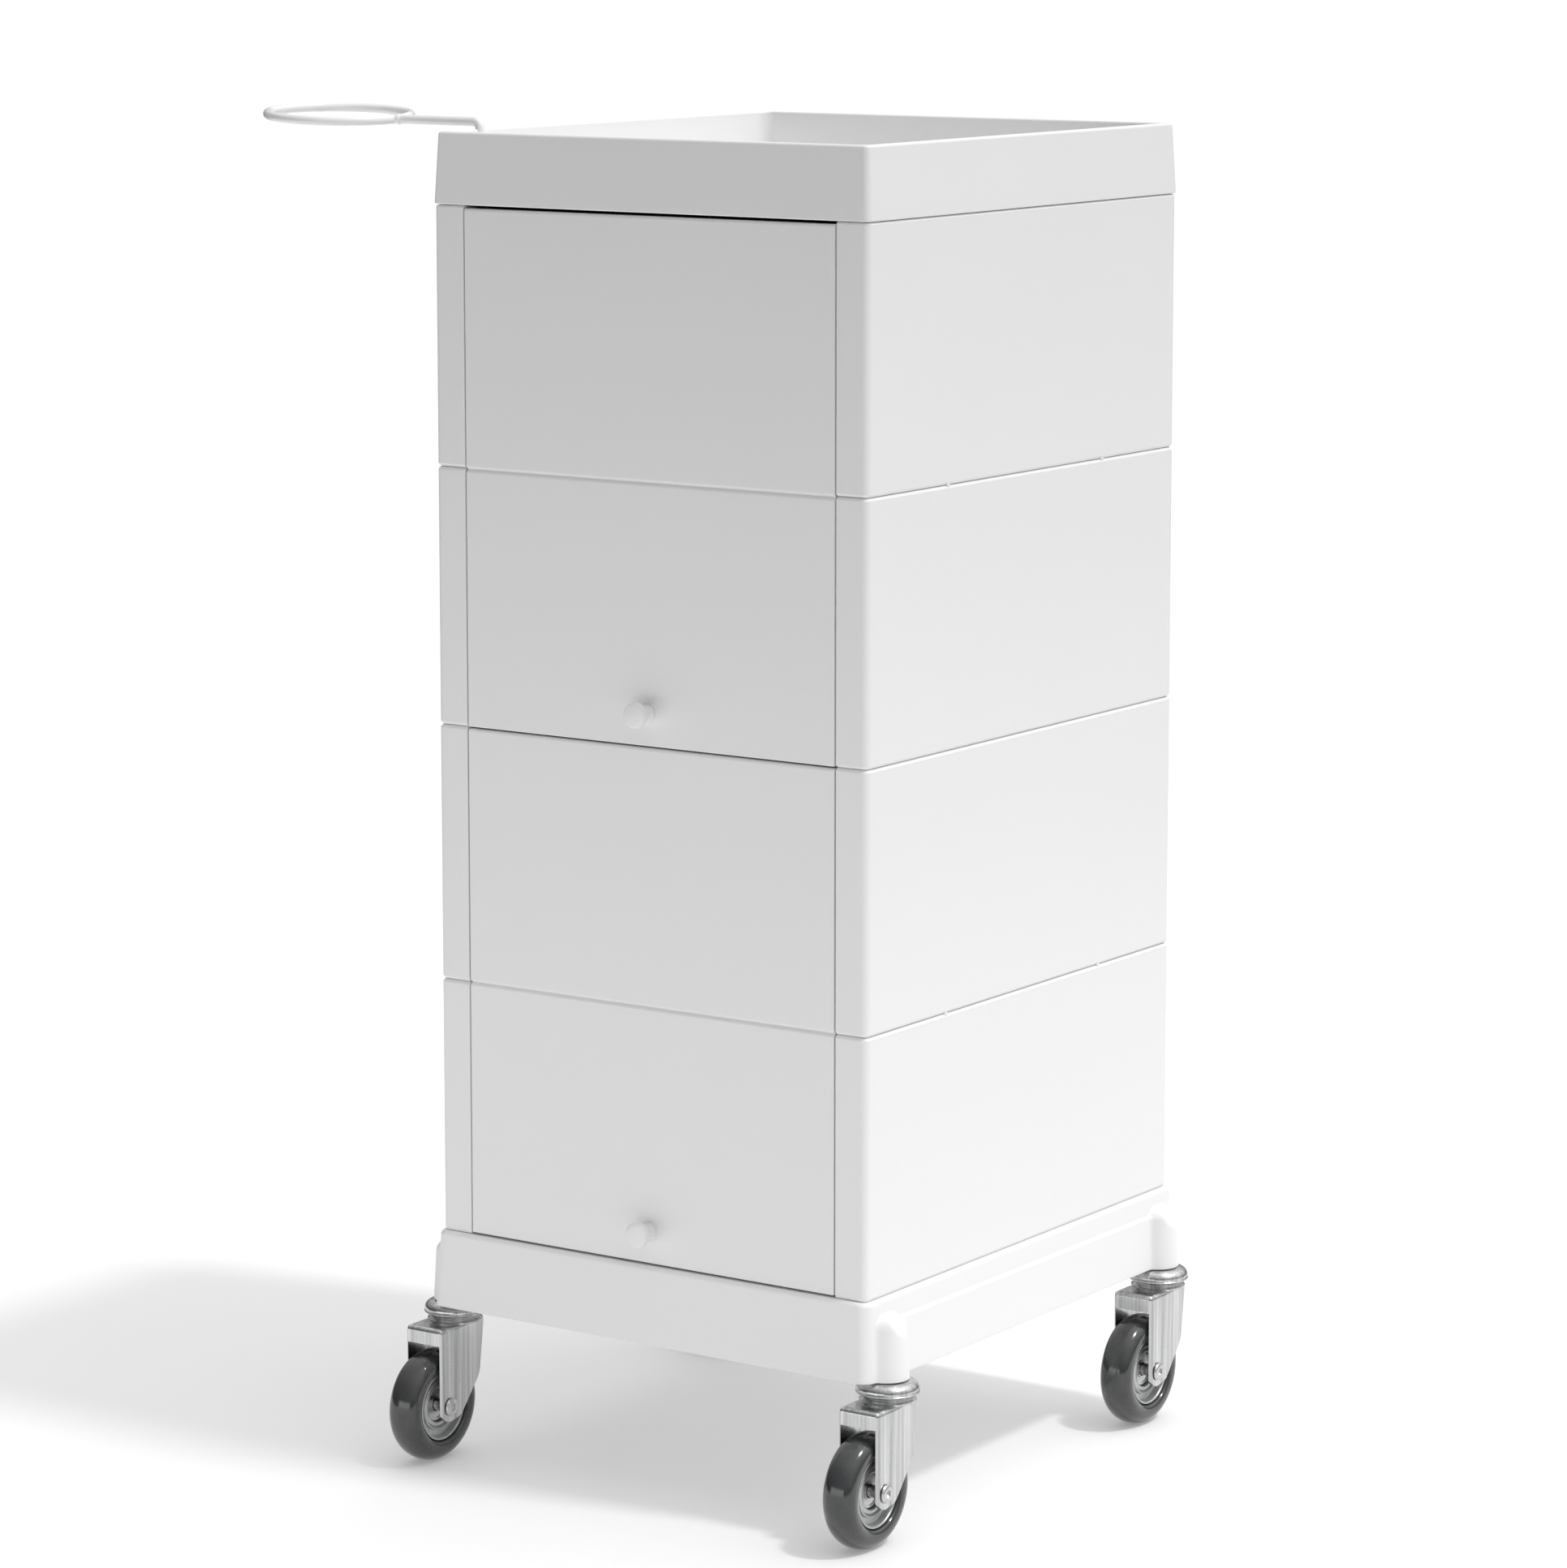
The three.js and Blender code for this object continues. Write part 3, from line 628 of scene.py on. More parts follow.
def build_panel(name, low, high):
    """The door's panel, hollowed at the back and bored for the knob's screw."""
    panel = raw_object(name + "_panel_look", door_part((high.x - low.x) / 2, low.z, high.z), CENTRE)
    carved(panel, door_pocket((high.x - low.x) / 2, low.z, high.z))
    bore = towards_front(lathe([(0, -5), (SCREW_BORE, -5), (SCREW_BORE, 1), (0, 1)], 24))
    carved(panel, moved(bore, 0, FRONT, low.z + KNOB_ABOVE_EDGE))
    shaded(panel, PLASTIC, 40)
    shown(panel, name, "white_plastic", name + "_panel")


def build_knob(name, place):
    knob = raw_object(name + "_knob_look", knob_part(), place)
    shaded(knob, PLASTIC, 50)
    shown(knob, name, "white_plastic", name + "_knob")

    screw = raw_object(name + "_screw_look", screw_part(), place)
    for half_w, half_h in ((2.2, 0.4), (0.4, 2.2)):
        carved(screw, block(-half_w, half_w, 4.6, 7, -half_h, half_h))
    shaded(screw, STEEL, 35)
    shown(screw, name, "plain_steel", name + "_knob_screw")


def build_hinge_pins(name):
    for side in ("left", "right"):
        node = f"{name}_hinge_pin_{side}"
        low, high = box_mm(node)
        pin = raw_object(node + "_look", hinge_pin_part((high.x - low.x) / 2), (low + high) / 2 * MM)
        shaded(pin, STEEL, 35)
        shown(pin, "cabinet", "plain_steel", node)


def build_doors():
    for name in ("upper_door", "lower_door"):
        low, high = box_mm(name + "_panel")
        build_panel(name, low, high)
        build_knob(name, Vector((CENTRE_X, CENTRE_Y + FRONT, low.z + KNOB_ABOVE_EDGE)) * MM)
        build_hinge_pins(name)


# ---------------------------------------------------------------- top tray and shelf

TRAY_DRAFT = 2.3               # how much the walls lean in from foot to rim
TRAY_WALL = 5.0
TRAY_FLOOR = 4.0
TRAY_CORNER = 9.0              # inside
TRAY_FILLET = 5.0
RIM_OUTER = 2.0
RIM_INNER = 1.5
SOCKET_RADIUS = 6.5


def tray_part(z0, z1, half_x, half_y):
    """Outside from the foot up, over the rim, and down the inside to the floor."""
    rings = []

    def outside(z, inset):
        grow = -TRAY_DRAFT * (z - z0) / (z1 - z0) - inset
        rings.append(rounded_loop(half_x + grow, half_y + grow, CORNER + grow * 0.3, z))

    def inside(z, inset, corner):
        inset += TRAY_DRAFT
        rings.append(rounded_loop(half_x - inset, half_y - inset, corner, z))

    for rise, inset in ((0.0, 1.1), (0.12, 0.6), (0.45, 0.22), (0.9, 0.0)):
        outside(z0 + rise, inset)
    for share in (0.35, 0.7):
        outside(z0 + share * (z1 - z0), 0)
    quarter = [math.radians(90 * s / ROUND_STEPS) for s in range(ROUND_STEPS + 1)]
    for angle in quarter:
        outside(z1 - RIM_OUTER + RIM_OUTER * math.sin(angle), RIM_OUTER * (1 - math.cos(angle)))
    for angle in quarter[1:]:
        inset = TRAY_WALL - RIM_INNER + RIM_INNER * math.sin(angle)
        inside(z1 - RIM_INNER + RIM_INNER * math.cos(angle), inset, TRAY_CORNER)
    for angle in quarter:
        run = TRAY_FILLET * (1 - math.cos(angle))
        z = z0 + TRAY_FLOOR + TRAY_FILLET * (1 - math.sin(angle))
        inside(z, TRAY_WALL + 0.5 + run, TRAY_CORNER - 0.4 * run)
    return loft(rings)


def holder_axis():
    """X and Y of the dryer holder's swivel pin, from its joint."""
    joint = next(j for j in frame["joints"] if j["name"] == "dryer_holder_swivel")
    return joint["pos_m"][0] / MM, joint["pos_m"][1] / MM


def build_tray():
    low, high = box_mm("top_tray")
    tray = raw_object(
        "top_tray_look",
        tray_part(low.z, high.z, (high.x - low.x) / 2, (high.y - low.y) / 2),
        CENTRE,
    )
    pin_x, pin_y = holder_axis()
    x = pin_x - CENTRE_X
    y = pin_y - CENTRE_Y
    boss = lathe([
        (0, low.z + 2), (SOCKET_RADIUS, low.z + 2), (SOCKET_RADIUS, high.z - 3.2),
        (6.1, high.z - 2.2), (5.2, high.z - 1.8), (0, high.z - 1.8),
    ], 48)
    carved(tray, moved(boss, x, y), "UNION")
    hole = lathe([
        (0, high.z - 35), (3.3, high.z - 35), (3.3, high.z - 0.8), (3.8, high.z + 1), (0, high.z + 1),
    ], 40)
    carved(tray, moved(hole, x, y))
    shaded(tray, PLASTIC, 40)
    shown(tray, "cabinet", "white_plastic", "top_tray")


SHELF_THICKNESS = 4.0
SHELF_LIP = 1.5                # half the lip's thickness


def build_shelf():
    """A plate with softened edges and a lip down from its front edge."""
    low, high = box_mm("middle_shelf")
    half_x = (high.x - low.x) / 2
    half_y = (high.y - low.y) / 2
    plate_rings = []
    foot = high.z - SHELF_THICKNESS
    for z, inset in ((foot, 0.7), (foot + 0.2, 0.25), (foot + 0.6, 0.0),
                     (high.z - 0.7, 0.0), (high.z - 0.25, 0.2), (high.z, 0.7)):
        plate_rings.append(rounded_loop(half_x - inset, half_y - inset, CORNER, z))
    lip_rings = []
    for z, inset in ((low.z, 0.6), (low.z + 0.2, 0.2), (low.z + 0.6, 0.0), (high.z - 1.0, 0.0)):
        loop = rounded_loop(half_x - CORNER - inset, SHELF_LIP - 0.6 * inset, 0.9 - 0.5 * inset, z, 4)
        lip_rings.append([(x, y - half_y + SHELF_LIP, z) for x, y, _ in loop])
    place = Vector((low.x + half_x, low.y + half_y, 0)) * MM
    shelf = raw_object("middle_shelf_look", loft(plate_rings), place)
    carved(shelf, loft(lip_rings), "UNION")
    shaded(shelf, PLASTIC, 40)
    shown(shelf, "cabinet", "white_plastic", "middle_shelf")


# ---------------------------------------------------------------- plinth

CASTERS = ["front_left", "rear_left", "front_right", "rear_right"]

PLINTH_OVERHANG_TOP = 3.0      # past the cabinet's faces
PLINTH_OVERHANG_BOTTOM = 5.5
PLINTH_CORNER = 8.0
PLINTH_TOP_ROUND = 3.0
PLINTH_SKIN = 3.0
LEDGE_RISE = 35.5              # top of the ledge on each side above the plinth's foot
LEDGE_STEP = 1.9
BOSS_SHOULDER = 33.0           # where a caster boss starts to dome, above the foot
BOSS_DOME = 9.0
BOSS_RADIUS = 11.2
BOSS_FLARE = 2.6               # how much wider it is at the foot
BOSS_FILLET = 3.6
FACET_RISE = 26.5              # foot of the slanted facet on a boss, above the plinth's foot
FACET_REACH = 13.0             # its distance out from the swivel axis there
FACET_SLOPE = 0.5
BORE_RISE = 38.0
BORE_RADIUS = 5.8
COLUMN = Vector((6.25, 9.0))   # half width and half depth of the column inside each boss
COLUMN_INSET = 9.25            # its middle, in from the swivel axis


def caster_axis(label):
    low, high = box_mm("caster_stem_" + label)
    return Vector(((low.x + high.x) / 2, (low.y + high.y) / 2, 0))


def smooth_max(a, b, blend):
    share = max(0.0, min(1.0, 0.5 + 0.5 * (a - b) / blend))
    return b + (a - b) * share + blend * share * (1 - share)


def smooth_step(value, low, high):
    t = max(0.0, min(1.0, (value - low) / (high - low)))
    return t * t * (3 - 2 * t)


def boss_on_wall(reach, radius, centre, wall, fillet):
    """X of a wall with a round boss on it at a distance along the wall, filleted where they meet."""
    run = radius + fillet
    lift = wall + fillet - centre
    foot = math.sqrt(max(0.0, run ** 2 - lift ** 2))
    if reach < foot * radius / run:
        return centre + math.sqrt(radius ** 2 - reach ** 2)
    if reach < foot:
        return wall + fillet - math.sqrt(max(0.0, fillet ** 2 - (foot - reach) ** 2))
    return wall


def side_wall(y, z, z0, z1):
    """X of the plinth's right-hand face at a distance along it and a height."""
    axis = caster_axis("front_right") - Vector((CENTRE_X, CENTRE_Y, 0))
    boss_x = abs(axis.x)
    boss_y = abs(axis.y)
    share = (z1 - z) / (z1 - z0)
    wall = HALF_X + PLINTH_OVERHANG_TOP + (PLINTH_OVERHANG_BOTTOM - PLINTH_OVERHANG_TOP) * share
    between_bosses = smooth_step(boss_y - abs(y), 2.0, 8.0)
    ledge = z0 + LEDGE_RISE
    wall += LEDGE_STEP * between_bosses * (1 - smooth_step(z, ledge - 0.5, ledge + 1.3))
    scale = 1.0
    if z > z0 + BOSS_SHOULDER:
        scale = math.sqrt(max(0.0, 1 - ((z - z0 - BOSS_SHOULDER) / BOSS_DOME) ** 2))
    if scale > 0.02:
        radius = scale * (BOSS_RADIUS + BOSS_FLARE * share)
        centre = wall + (boss_x - wall) * scale
        bulge = boss_on_wall(abs(abs(y) - boss_y), radius, centre, wall, BOSS_FILLET)
        facet = boss_x + FACET_REACH - FACET_SLOPE * (z - z0 - FACET_RISE)
        wall = max(wall, -smooth_max(-bulge, -facet, 0.5))
    return wall


def plinth_ring(z, inset, z0, z1):
    """Outline at a height. Every ring has its points at the same places along the sides."""
    corner_steps = 10
    near_steps = 42                # through each boss
    far_steps = 12                 # between the bosses
    share = (z1 - z) / (z1 - z0)
    grow = PLINTH_OVERHANG_TOP + (PLINTH_OVERHANG_BOTTOM - PLINTH_OVERHANG_TOP) * share - inset
    half_y = HALF_Y + grow
    half = []
    for s in range(corner_steps + 1):
        angle = math.radians(270 + 90 * s / corner_steps)
        c = math.cos(angle)
        y = -half_y + PLINTH_CORNER + PLINTH_CORNER * math.sin(angle)
        x = (HALF_X + grow - PLINTH_CORNER) + PLINTH_CORNER * c
        pull = side_wall(y, z, z0, z1) - (HALF_X + grow + inset)
        half.append((x + pull * max(0.0, c), y))
    end = half_y - PLINTH_CORNER
    near = abs((caster_axis("front_right") - Vector((CENTRE_X, CENTRE_Y, 0))).y) - 24
    ys = [-end + (end - near) * s / near_steps for s in range(1, near_steps + 1)]
    ys += [-near * (1 - s / far_steps) for s in range(1, far_steps + 1)]
    for y in ys:
        half.append((side_wall(y, z, z0, z1) - inset, y))
    right = half + [(x, -y) for x, y in reversed(half[:-1])]
    loop = right + [(-x, y) for x, y in reversed(right)]
    return [(x, y, z) for x, y in loop]


def plinth_levels(z0, z1):
    """(height, inset) of the rings: sparse up the plain wall, close over the bosses' domes."""
    levels = [(z0, 0.6), (z0 + 0.2, 0.2), (z0 + 0.6, 0.0)]
    z = z0 + 3
    while z < z0 + BOSS_SHOULDER - 6:
        levels.append((z, 0.0))
        z += 4.0
    while z < z1 - PLINTH_TOP_ROUND - 0.2:
        levels.append((z, 0.0))
        z += 0.7
    for s in range(ROUND_STEPS + 1):
        angle = math.radians(90 * s / ROUND_STEPS)
        rise = PLINTH_TOP_ROUND * math.sin(angle)
        levels.append((z1 - PLINTH_TOP_ROUND + rise, PLINTH_TOP_ROUND * (1 - math.cos(angle))))
    return levels


def plinth_hollow(z0, z1):
    """What is cut from underneath, with a rounded ceiling."""
    rings = []
    for z, inset in ((z0 - 2, 0.0), (z0, 0.0), (z1 - 6.0, 0.0), (z1 - 4.2, 0.5), (z1 - 3.2, 1.8),
                     (z1 - PLINTH_SKIN, 3.6)):
        grow = (PLINTH_OVERHANG_BOTTOM - PLINTH_OVERHANG_TOP) * (z1 - z) / (z1 - z0) - inset
        rings.append(rounded_loop(HALF_X + grow, HALF_Y + grow, 5.0, z))
    return loft(rings)


def build_plinth():
    low, high = box_mm("base_plinth")
    rings = [plinth_ring(z, inset, low.z, high.z) for z, inset in plinth_levels(low.z, high.z)]
    plinth = raw_object("base_plinth_look", loft(rings), CENTRE)
    carved(plinth, plinth_hollow(low.z, high.z))
    for label in CASTERS:
        axis = caster_axis(label) - Vector((CENTRE_X, CENTRE_Y, 0))
        column_rings = []
        for z, inset in ((low.z + 0.1, 0.6), (low.z + 0.3, 0.2), (low.z + 0.7, 0.0), (high.z - 2.0, 0.3)):
            column_rings.append(rounded_loop(COLUMN.x - inset, COLUMN.y - inset, 3.5, z))
        inside = math.copysign(abs(axis.x) - COLUMN_INSET, axis.x)
        carved(plinth, moved(loft(column_rings), inside, axis.y), "UNION")
        bore = lathe([
            (0, low.z - 1), (BORE_RADIUS + 0.6, low.z - 1), (BORE_RADIUS, low.z + 0.6),
            (BORE_RADIUS, low.z + BORE_RISE - 1.4), (5.0, low.z + BORE_RISE), (0, low.z + BORE_RISE),
        ], 40)
        carved(plinth, moved(bore, axis.x, axis.y))
    shaded(plinth, PLASTIC, 40)
    shown(plinth, "cabinet", "white_plastic", "base_plinth")


# ---------------------------------------------------------------- dryer holder

ROD_RADIUS = 3.0
RING_RADIUS = 46.5             # to the middle of the rod
RING_REACH = 116.0             # swivel pin to ring centre
ARM_HEIGHT = 4.5               # middle of the arm above the tray's rim
ELBOW = 4.5                    # bend radius
RING_RISE = math.radians(2.6)  # outer end of the ring higher
RING_ROLL = math.radians(2.1)  # front of the ring lower
RING_STEPS = 160


def holder_pin_path(foot, arm_z, end_x):
    """Middle of the rod: up from the pin's foot, round the elbow and out along the arm."""
    pin_steps = 8
    elbow_steps = 16
    arm_steps = 12
    start = foot + 1.0
    path = [(0, 0, start + (arm_z - ELBOW - start) * s / pin_steps) for s in range(pin_steps)]
    for s in range(elbow_steps + 1):
        angle = math.radians(90 * s / elbow_steps)
        path.append((-ELBOW + ELBOW * math.cos(angle), 0, arm_z - ELBOW + ELBOW * math.sin(angle)))
    for s in range(1, arm_steps + 1):
        path.append((-ELBOW + (end_x + ELBOW - 2.0) * s / arm_steps, 0, arm_z))
    return path


def ring_path(end_x, arm_z):
    tilt = Matrix.Rotation(RING_RISE, 3, "Y") @ Matrix.Rotation(RING_ROLL, 3, "X")
    path = []
    for s in range(RING_STEPS):
        angle = 2 * math.pi * s / RING_STEPS
        flat = Vector((-RING_RADIUS + RING_RADIUS * math.cos(angle), RING_RADIUS * math.sin(angle), 0))
        spot = tilt @ flat
        path.append((spot.x + end_x, spot.y, spot.z + arm_z))
    return path


def build_holder():
    x, y = holder_axis()
    arm_z = heights("top_tray")[1] + ARM_HEIGHT
    end_x = -(RING_REACH - RING_RADIUS)
    rod = sweep(holder_pin_path(heights("dryer_holder")[0], arm_z, end_x), ROD_RADIUS, 32)
    ring = sweep(ring_path(end_x, arm_z), ROD_RADIUS, 32, closed=True)
    weld = along_x(lathe([
        (0, -3.2), (1.8, -2.9), (3.1, -1.6), (3.7, 0), (3.75, 1.4), (3.4, 2.8), (3.0, 3.6), (0, 3.7),
    ], 32))
    weld = moved(mapped(weld, lambda px, py, pz: (px, py * 1.15, pz * 0.94)), end_x + 2.4, 0, arm_z)
    holder = raw_object("dryer_holder_look", merged(rod, ring, weld), Vector((x, y, 0)) * MM)
    shaded(holder, COATED, 60)
    shown(holder, "dryer_holder", "coated_rod", "dryer_holder")


# ---------------------------------------------------------------- casters

TYRE_LOW, TYRE_HIGH = box_mm("wheel_tyre_front_left")
WHEEL_RADIUS = (TYRE_HIGH.z - TYRE_LOW.z) / 2
TYRE_HALF_WIDTH = 11.5
TYRE_ROUND = 8.6               # depth of the tyre's rounded tread
RIM_RADIUS = 23.2              # where the tyre sits on the hub
TRAIL = 25.0                   # axle in front of the swivel axis
FORK_HALF = 15.0               # half the width over the cheeks
FORK_SHEET = 2.0
FORK_TOP = 90.0
FORK_FRONT = -34.0
FORK_REAR = 15.0
FORK_FOLD = -13.0              # where the cheeks start to close in
FORK_TAPER = 2.4
LIP_BOTTOM = 79.0
EAR_RADIUS = 10.0
AXLE_RADIUS = 4.0
STEM_TOP = 140.7


def cap_part():
    """Dust cap round the kingpin: thin flange, groove and dome."""
    profile = [
        (6.2, 0.1), (16.0, 0.1), (19.4, 0.1), (20.0, 0.3), (20.25, 0.65), (20.2, 1.05),
        (19.7, 1.3), (19.65, 1.6), (20.05, 2.2), (20.1, 3.1), (19.8, 4.3), (19.1, 5.6),
        (17.9, 6.7), (16.4, 7.5), (14.4, 8.0), (12.0, 8.25), (9.0, 8.3), (6.6, 8.1), (6.2, 7.6),
    ]
    foot = heights("caster_cap_front_left")[0]
    return lathe([(r, foot + z) for r, z in profile], 96)


def race_part():
    """Bearing race pressed into the fork's top, waisted between two beads."""
    profile = [
        (5.9, -1.0), (18.0, -1.0), (18.2, 0.2), (17.6, 0.7), (16.9, 1.0), (16.5, 1.5),
        (16.6, 2.0), (17.2, 2.5), (17.4, 3.0), (17.2, 3.5), (16.4, 3.8), (5.9, 3.8),
    ]
    return lathe([(r, FORK_TOP + z) for r, z in profile], 80)


def fork_plan(inset, z):
    """Plan outline of the fork's outside at a height, cheeks folded in towards the rear."""
    corner_steps = 6
    x = FORK_HALF - inset
    front = FORK_FRONT + inset
    turn = max(0.4, 3.0 - inset)
    half = []
    for s in range(corner_steps + 1):
        angle = math.radians(270 + 90 * s / corner_steps)
        half.append((x - turn + turn * math.cos(angle), front + turn + turn * math.sin(angle)))
    half.append((x, (front + FORK_FOLD) / 2))
    half.append((x, FORK_FOLD - 1.6))
    half.append((x - 0.06, FORK_FOLD))
    half.append((x - 0.22, FORK_FOLD + 1.6))
    half.append((x - FORK_TAPER, FORK_REAR))
    loop = half + [(-px, py) for px, py in reversed(half)]
    return [(px, py, z) for px, py in loop]


def cheek_outline():
    """Side outline (y, z): upright front, round ear at the axle, raked rear edge curving upright."""
    ear_steps = 24
    ear_start, ear_end = 176, 292
    points = [
        (FORK_FRONT - 6, FORK_TOP + 5),
        (FORK_FRONT - 6, FORK_TOP - 16),
        (FORK_FRONT - 2.5, WHEEL_RADIUS + 20),
    ]
    for s in range(ear_steps + 1):
        angle = math.radians(ear_start + (ear_end - ear_start) * s / ear_steps)
        y = -TRAIL + EAR_RADIUS * math.cos(angle)
        points.append((y, WHEEL_RADIUS + EAR_RADIUS * math.sin(angle)))
    # from the ear back to the upright edge, measured from the axle
    rear_edge = [
        (8.5, -8.6), (12.0, -7.0), (15.4, -4.0), (28.6, 9.2),
        (31.4, 12.2), (33.4, 15.2), (34.6, 18.6), (35.2, 23.0),
    ]
    points += [(-TRAIL + y, WHEEL_RADIUS + z) for y, z in rear_edge]
    points.append((FORK_REAR + 0.4, FORK_TOP + 5))
    return points


def fork_object():
    """Folded sheet fork: an open-bottomed shell, trimmed to the cheeks' outline."""
    outer = []
    for drop, inset in ((80, 0), (3, 0), (1.9, 0.25), (0.9, 0.9), (0.25, 1.8), (0, 3.0)):
        outer.append(fork_plan(inset, FORK_TOP - drop))
    inner = []
    for drop, inset in ((85, 2), (3.5, 2), (2.7, 2.4), (2.2, 3.0), (2.0, 3.8)):
        inner.append(fork_plan(inset, FORK_TOP - drop))
    fork = raw_object("caster_fork", loft(outer))
    carved(fork, loft(inner))
    outline = cheek_outline()
    carved(fork, loft([[(x, y, z) for y, z in outline] for x in (-20, 20)]), "INTERSECT")
    open_front = FORK_HALF - FORK_SHEET
    carved(fork, block(-open_front, open_front, -45, -24, 0, LIP_BOTTOM))
    open_rear = open_front - FORK_TAPER
    carved(fork, block(-open_rear, open_rear, 8, 20, 0, FORK_TOP - FORK_SHEET))
    hole = along_x(lathe([(0, -20), (AXLE_RADIUS + 0.3, -20), (AXLE_RADIUS + 0.3, 20), (0, 20)], 32))
    carved(fork, moved(hole, 0, -TRAIL, WHEEL_RADIUS))
    return fork


def fork_with_race():
    """The fork with its edges softened and the race set on it, as one mesh."""
    fork = softened(fork_object(), 0.35, 2)
    race = raw_object("caster_race", race_part())
    bpy.context.view_layer.update()
    graph = bpy.context.evaluated_depsgraph_get()
    soft = bpy.data.meshes.new_from_object(fork.evaluated_get(graph))
    fork.modifiers.clear()
    fork.data = soft
    work = bmesh.new()
    work.from_mesh(fork.data)
    work.from_mesh(race.data)
    work.to_mesh(fork.data)
    work.free()
    bpy.data.objects.remove(race)
    return fork


def tyre_part():
    steps = 40
    profile = []
    for s in range(steps + 1):
        angle = math.radians(-128 + 256 * s / steps)
        side = math.copysign(abs(math.sin(angle)) ** 0.95, math.sin(angle))
        rise = math.copysign(abs(math.cos(angle)) ** 0.92, math.cos(angle))
        profile.append((WHEEL_RADIUS - TYRE_ROUND + TYRE_ROUND * rise, TYRE_HALF_WIDTH * side))
    tread = [point for point in profile if point[0] > RIM_RADIUS + 1.0]
    return along_x(lathe([(RIM_RADIUS, -8.2)] + tread + [(RIM_RADIUS, 8.2)], 128))


def mirrored_profile(half):
    """A profile and its mirror image across the wheel's middle plane."""
    return half + [(r, -z) for r, z in reversed(half)]


def hub_part():
    """Boss round the bearing, raised band, recessed web and a thin rim beside the tyre."""
    return along_x(lathe(mirrored_profile([
        (11.3, -5.0), (11.9, -5.6), (13.2, -5.8), (14.4, -5.2), (14.8, -4.6), (15.3, -6.2),
        (15.9, -6.5), (16.5, -6.2), (16.9, -4.0), (20.0, -3.8), (20.9, -4.6), (21.3, -8.0),
        (21.6, -9.0), (22.2, -9.4), (22.8, -9.2), (23.0, -8.5),
    ]), 112))


def bearing_part():
    return along_x(lathe(mirrored_profile([
        (4.45, -3.2), (4.8, -3.5), (6.1, -3.5), (6.2, -3.05),
        (9.2, -3.05), (9.3, -3.5), (10.7, -3.5), (11.0, -3.2),
    ]), 64))


def axle_object():
    """Bolt with a low head and a hexagonal recess."""
    seat = FORK_HALF + 0.3
    bolt = raw_object("caster_axle", along_x(lathe([
        (0, -21.5), (3.3, -21.5), (AXLE_RADIUS, -20.8), (AXLE_RADIUS, seat), (5.6, seat),
        (6.0, seat + 0.2), (6.0, seat + 0.8), (5.7, seat + 1.4), (5.1, seat + 1.8),
        (4.4, seat + 2.0), (3.3, seat + 2.0), (0, seat + 2.0),
    ], 64)))
    recess = along_x(lathe([(0, seat + 0.4), (2.6, seat + 0.8), (2.6, seat + 5), (0, seat + 5)], 6))
    return carved(bolt, recess)


def nut_object():
    seat = -FORK_HALF - 0.3
    hexagon = lathe([
        (0, seat - 5.0), (6.2, seat - 5.0), (7.0, seat - 4.4), (7.0, seat - 0.6), (6.4, seat), (0, seat),
    ], 6)
    nut = raw_object("caster_axle_nut", along_x(hexagon))
    radius = AXLE_RADIUS + 0.1
    bore = lathe([(0, seat - 7), (radius, seat - 7), (radius, seat + 1), (0, seat + 1)], 32)
    return carved(nut, along_x(bore))


def stem_part():
    """Kingpin with its rounded rivet head under the fork's top."""
    return lathe([
        (0, 83.0), (4.5, 83.1), (6.6, 83.6), (7.7, 84.5), (8.0, 85.6), (8.0, 87.7), (5.5, 87.7),
        (5.5, 88.6), (5.5, STEM_TOP - 1.0), (4.6, STEM_TOP), (0, STEM_TOP),
    ], 48)


def build_casters():
    """One pattern of each piece, copied to the four casters with its mesh shared."""
    pivot = Vector((0, 0, 0))
    axle = Vector((0, -TRAIL, WHEEL_RADIUS))
    stem = raw_object("caster_stem", stem_part())
    cap = raw_object("caster_cap", cap_part())
    bearing = raw_object("wheel_bearing", bearing_part())
    hub = raw_object("wheel_hub", hub_part())
    tyre = raw_object("wheel_tyre", tyre_part())
    patterns = [
        ("caster_stem", stem, STEEL, "plain_steel", pivot, "cabinet", 40),
        ("caster_cap", cap, ZINC, "zinc_steel", pivot, "cabinet", 60),
        ("caster_axle", axle_object(), STEEL, "plain_steel", axle, "fork", 35),
        ("caster_axle_nut", nut_object(), STEEL, "plain_steel", axle, "fork", 28),
        ("wheel_bearing", bearing, STEEL, "plain_steel", axle, "wheel", 35),
        ("wheel_hub", hub, HUB, "wheel_hub", axle, "wheel", 50),
        ("wheel_tyre", tyre, TYRE, "wheel_tyre", axle, "wheel", 50),
        ("caster_fork", fork_with_race(), ZINC, "zinc_steel", pivot, "fork", 35),
    ]
    for kind, pattern, material, slot, place, carrier, sharp in patterns:
        shaded(pattern, material, sharp)
        for label in CASTERS:
            piece = pattern.copy()
            piece.name = f"{kind}_{label}_look"
            piece.location = (caster_axis(label) + place) * MM
            SCENE.collection.objects.link(piece)
            body = "cabinet" if carrier == "cabinet" else f"{carrier}_{label}"
            shown(piece, body, slot, f"{kind}_{label}")
        bpy.data.objects.remove(pattern)


# ---------------------------------------------------------------- studio and camera

FLOOR_RADIUS = 2600.0
SKY_AT_HORIZON = 0.08
SKY_OVERHEAD = 1.15
BACKDROP = 1.05                # what the camera sees past the floor, a plain white
SKY_LEAN = (0.45, 0.62, 0.0)   # the soft light is stronger from the right and from behind
SUN_ELEVATION = math.radians(60)
SUN_HEADING = (0.987, 0.160)


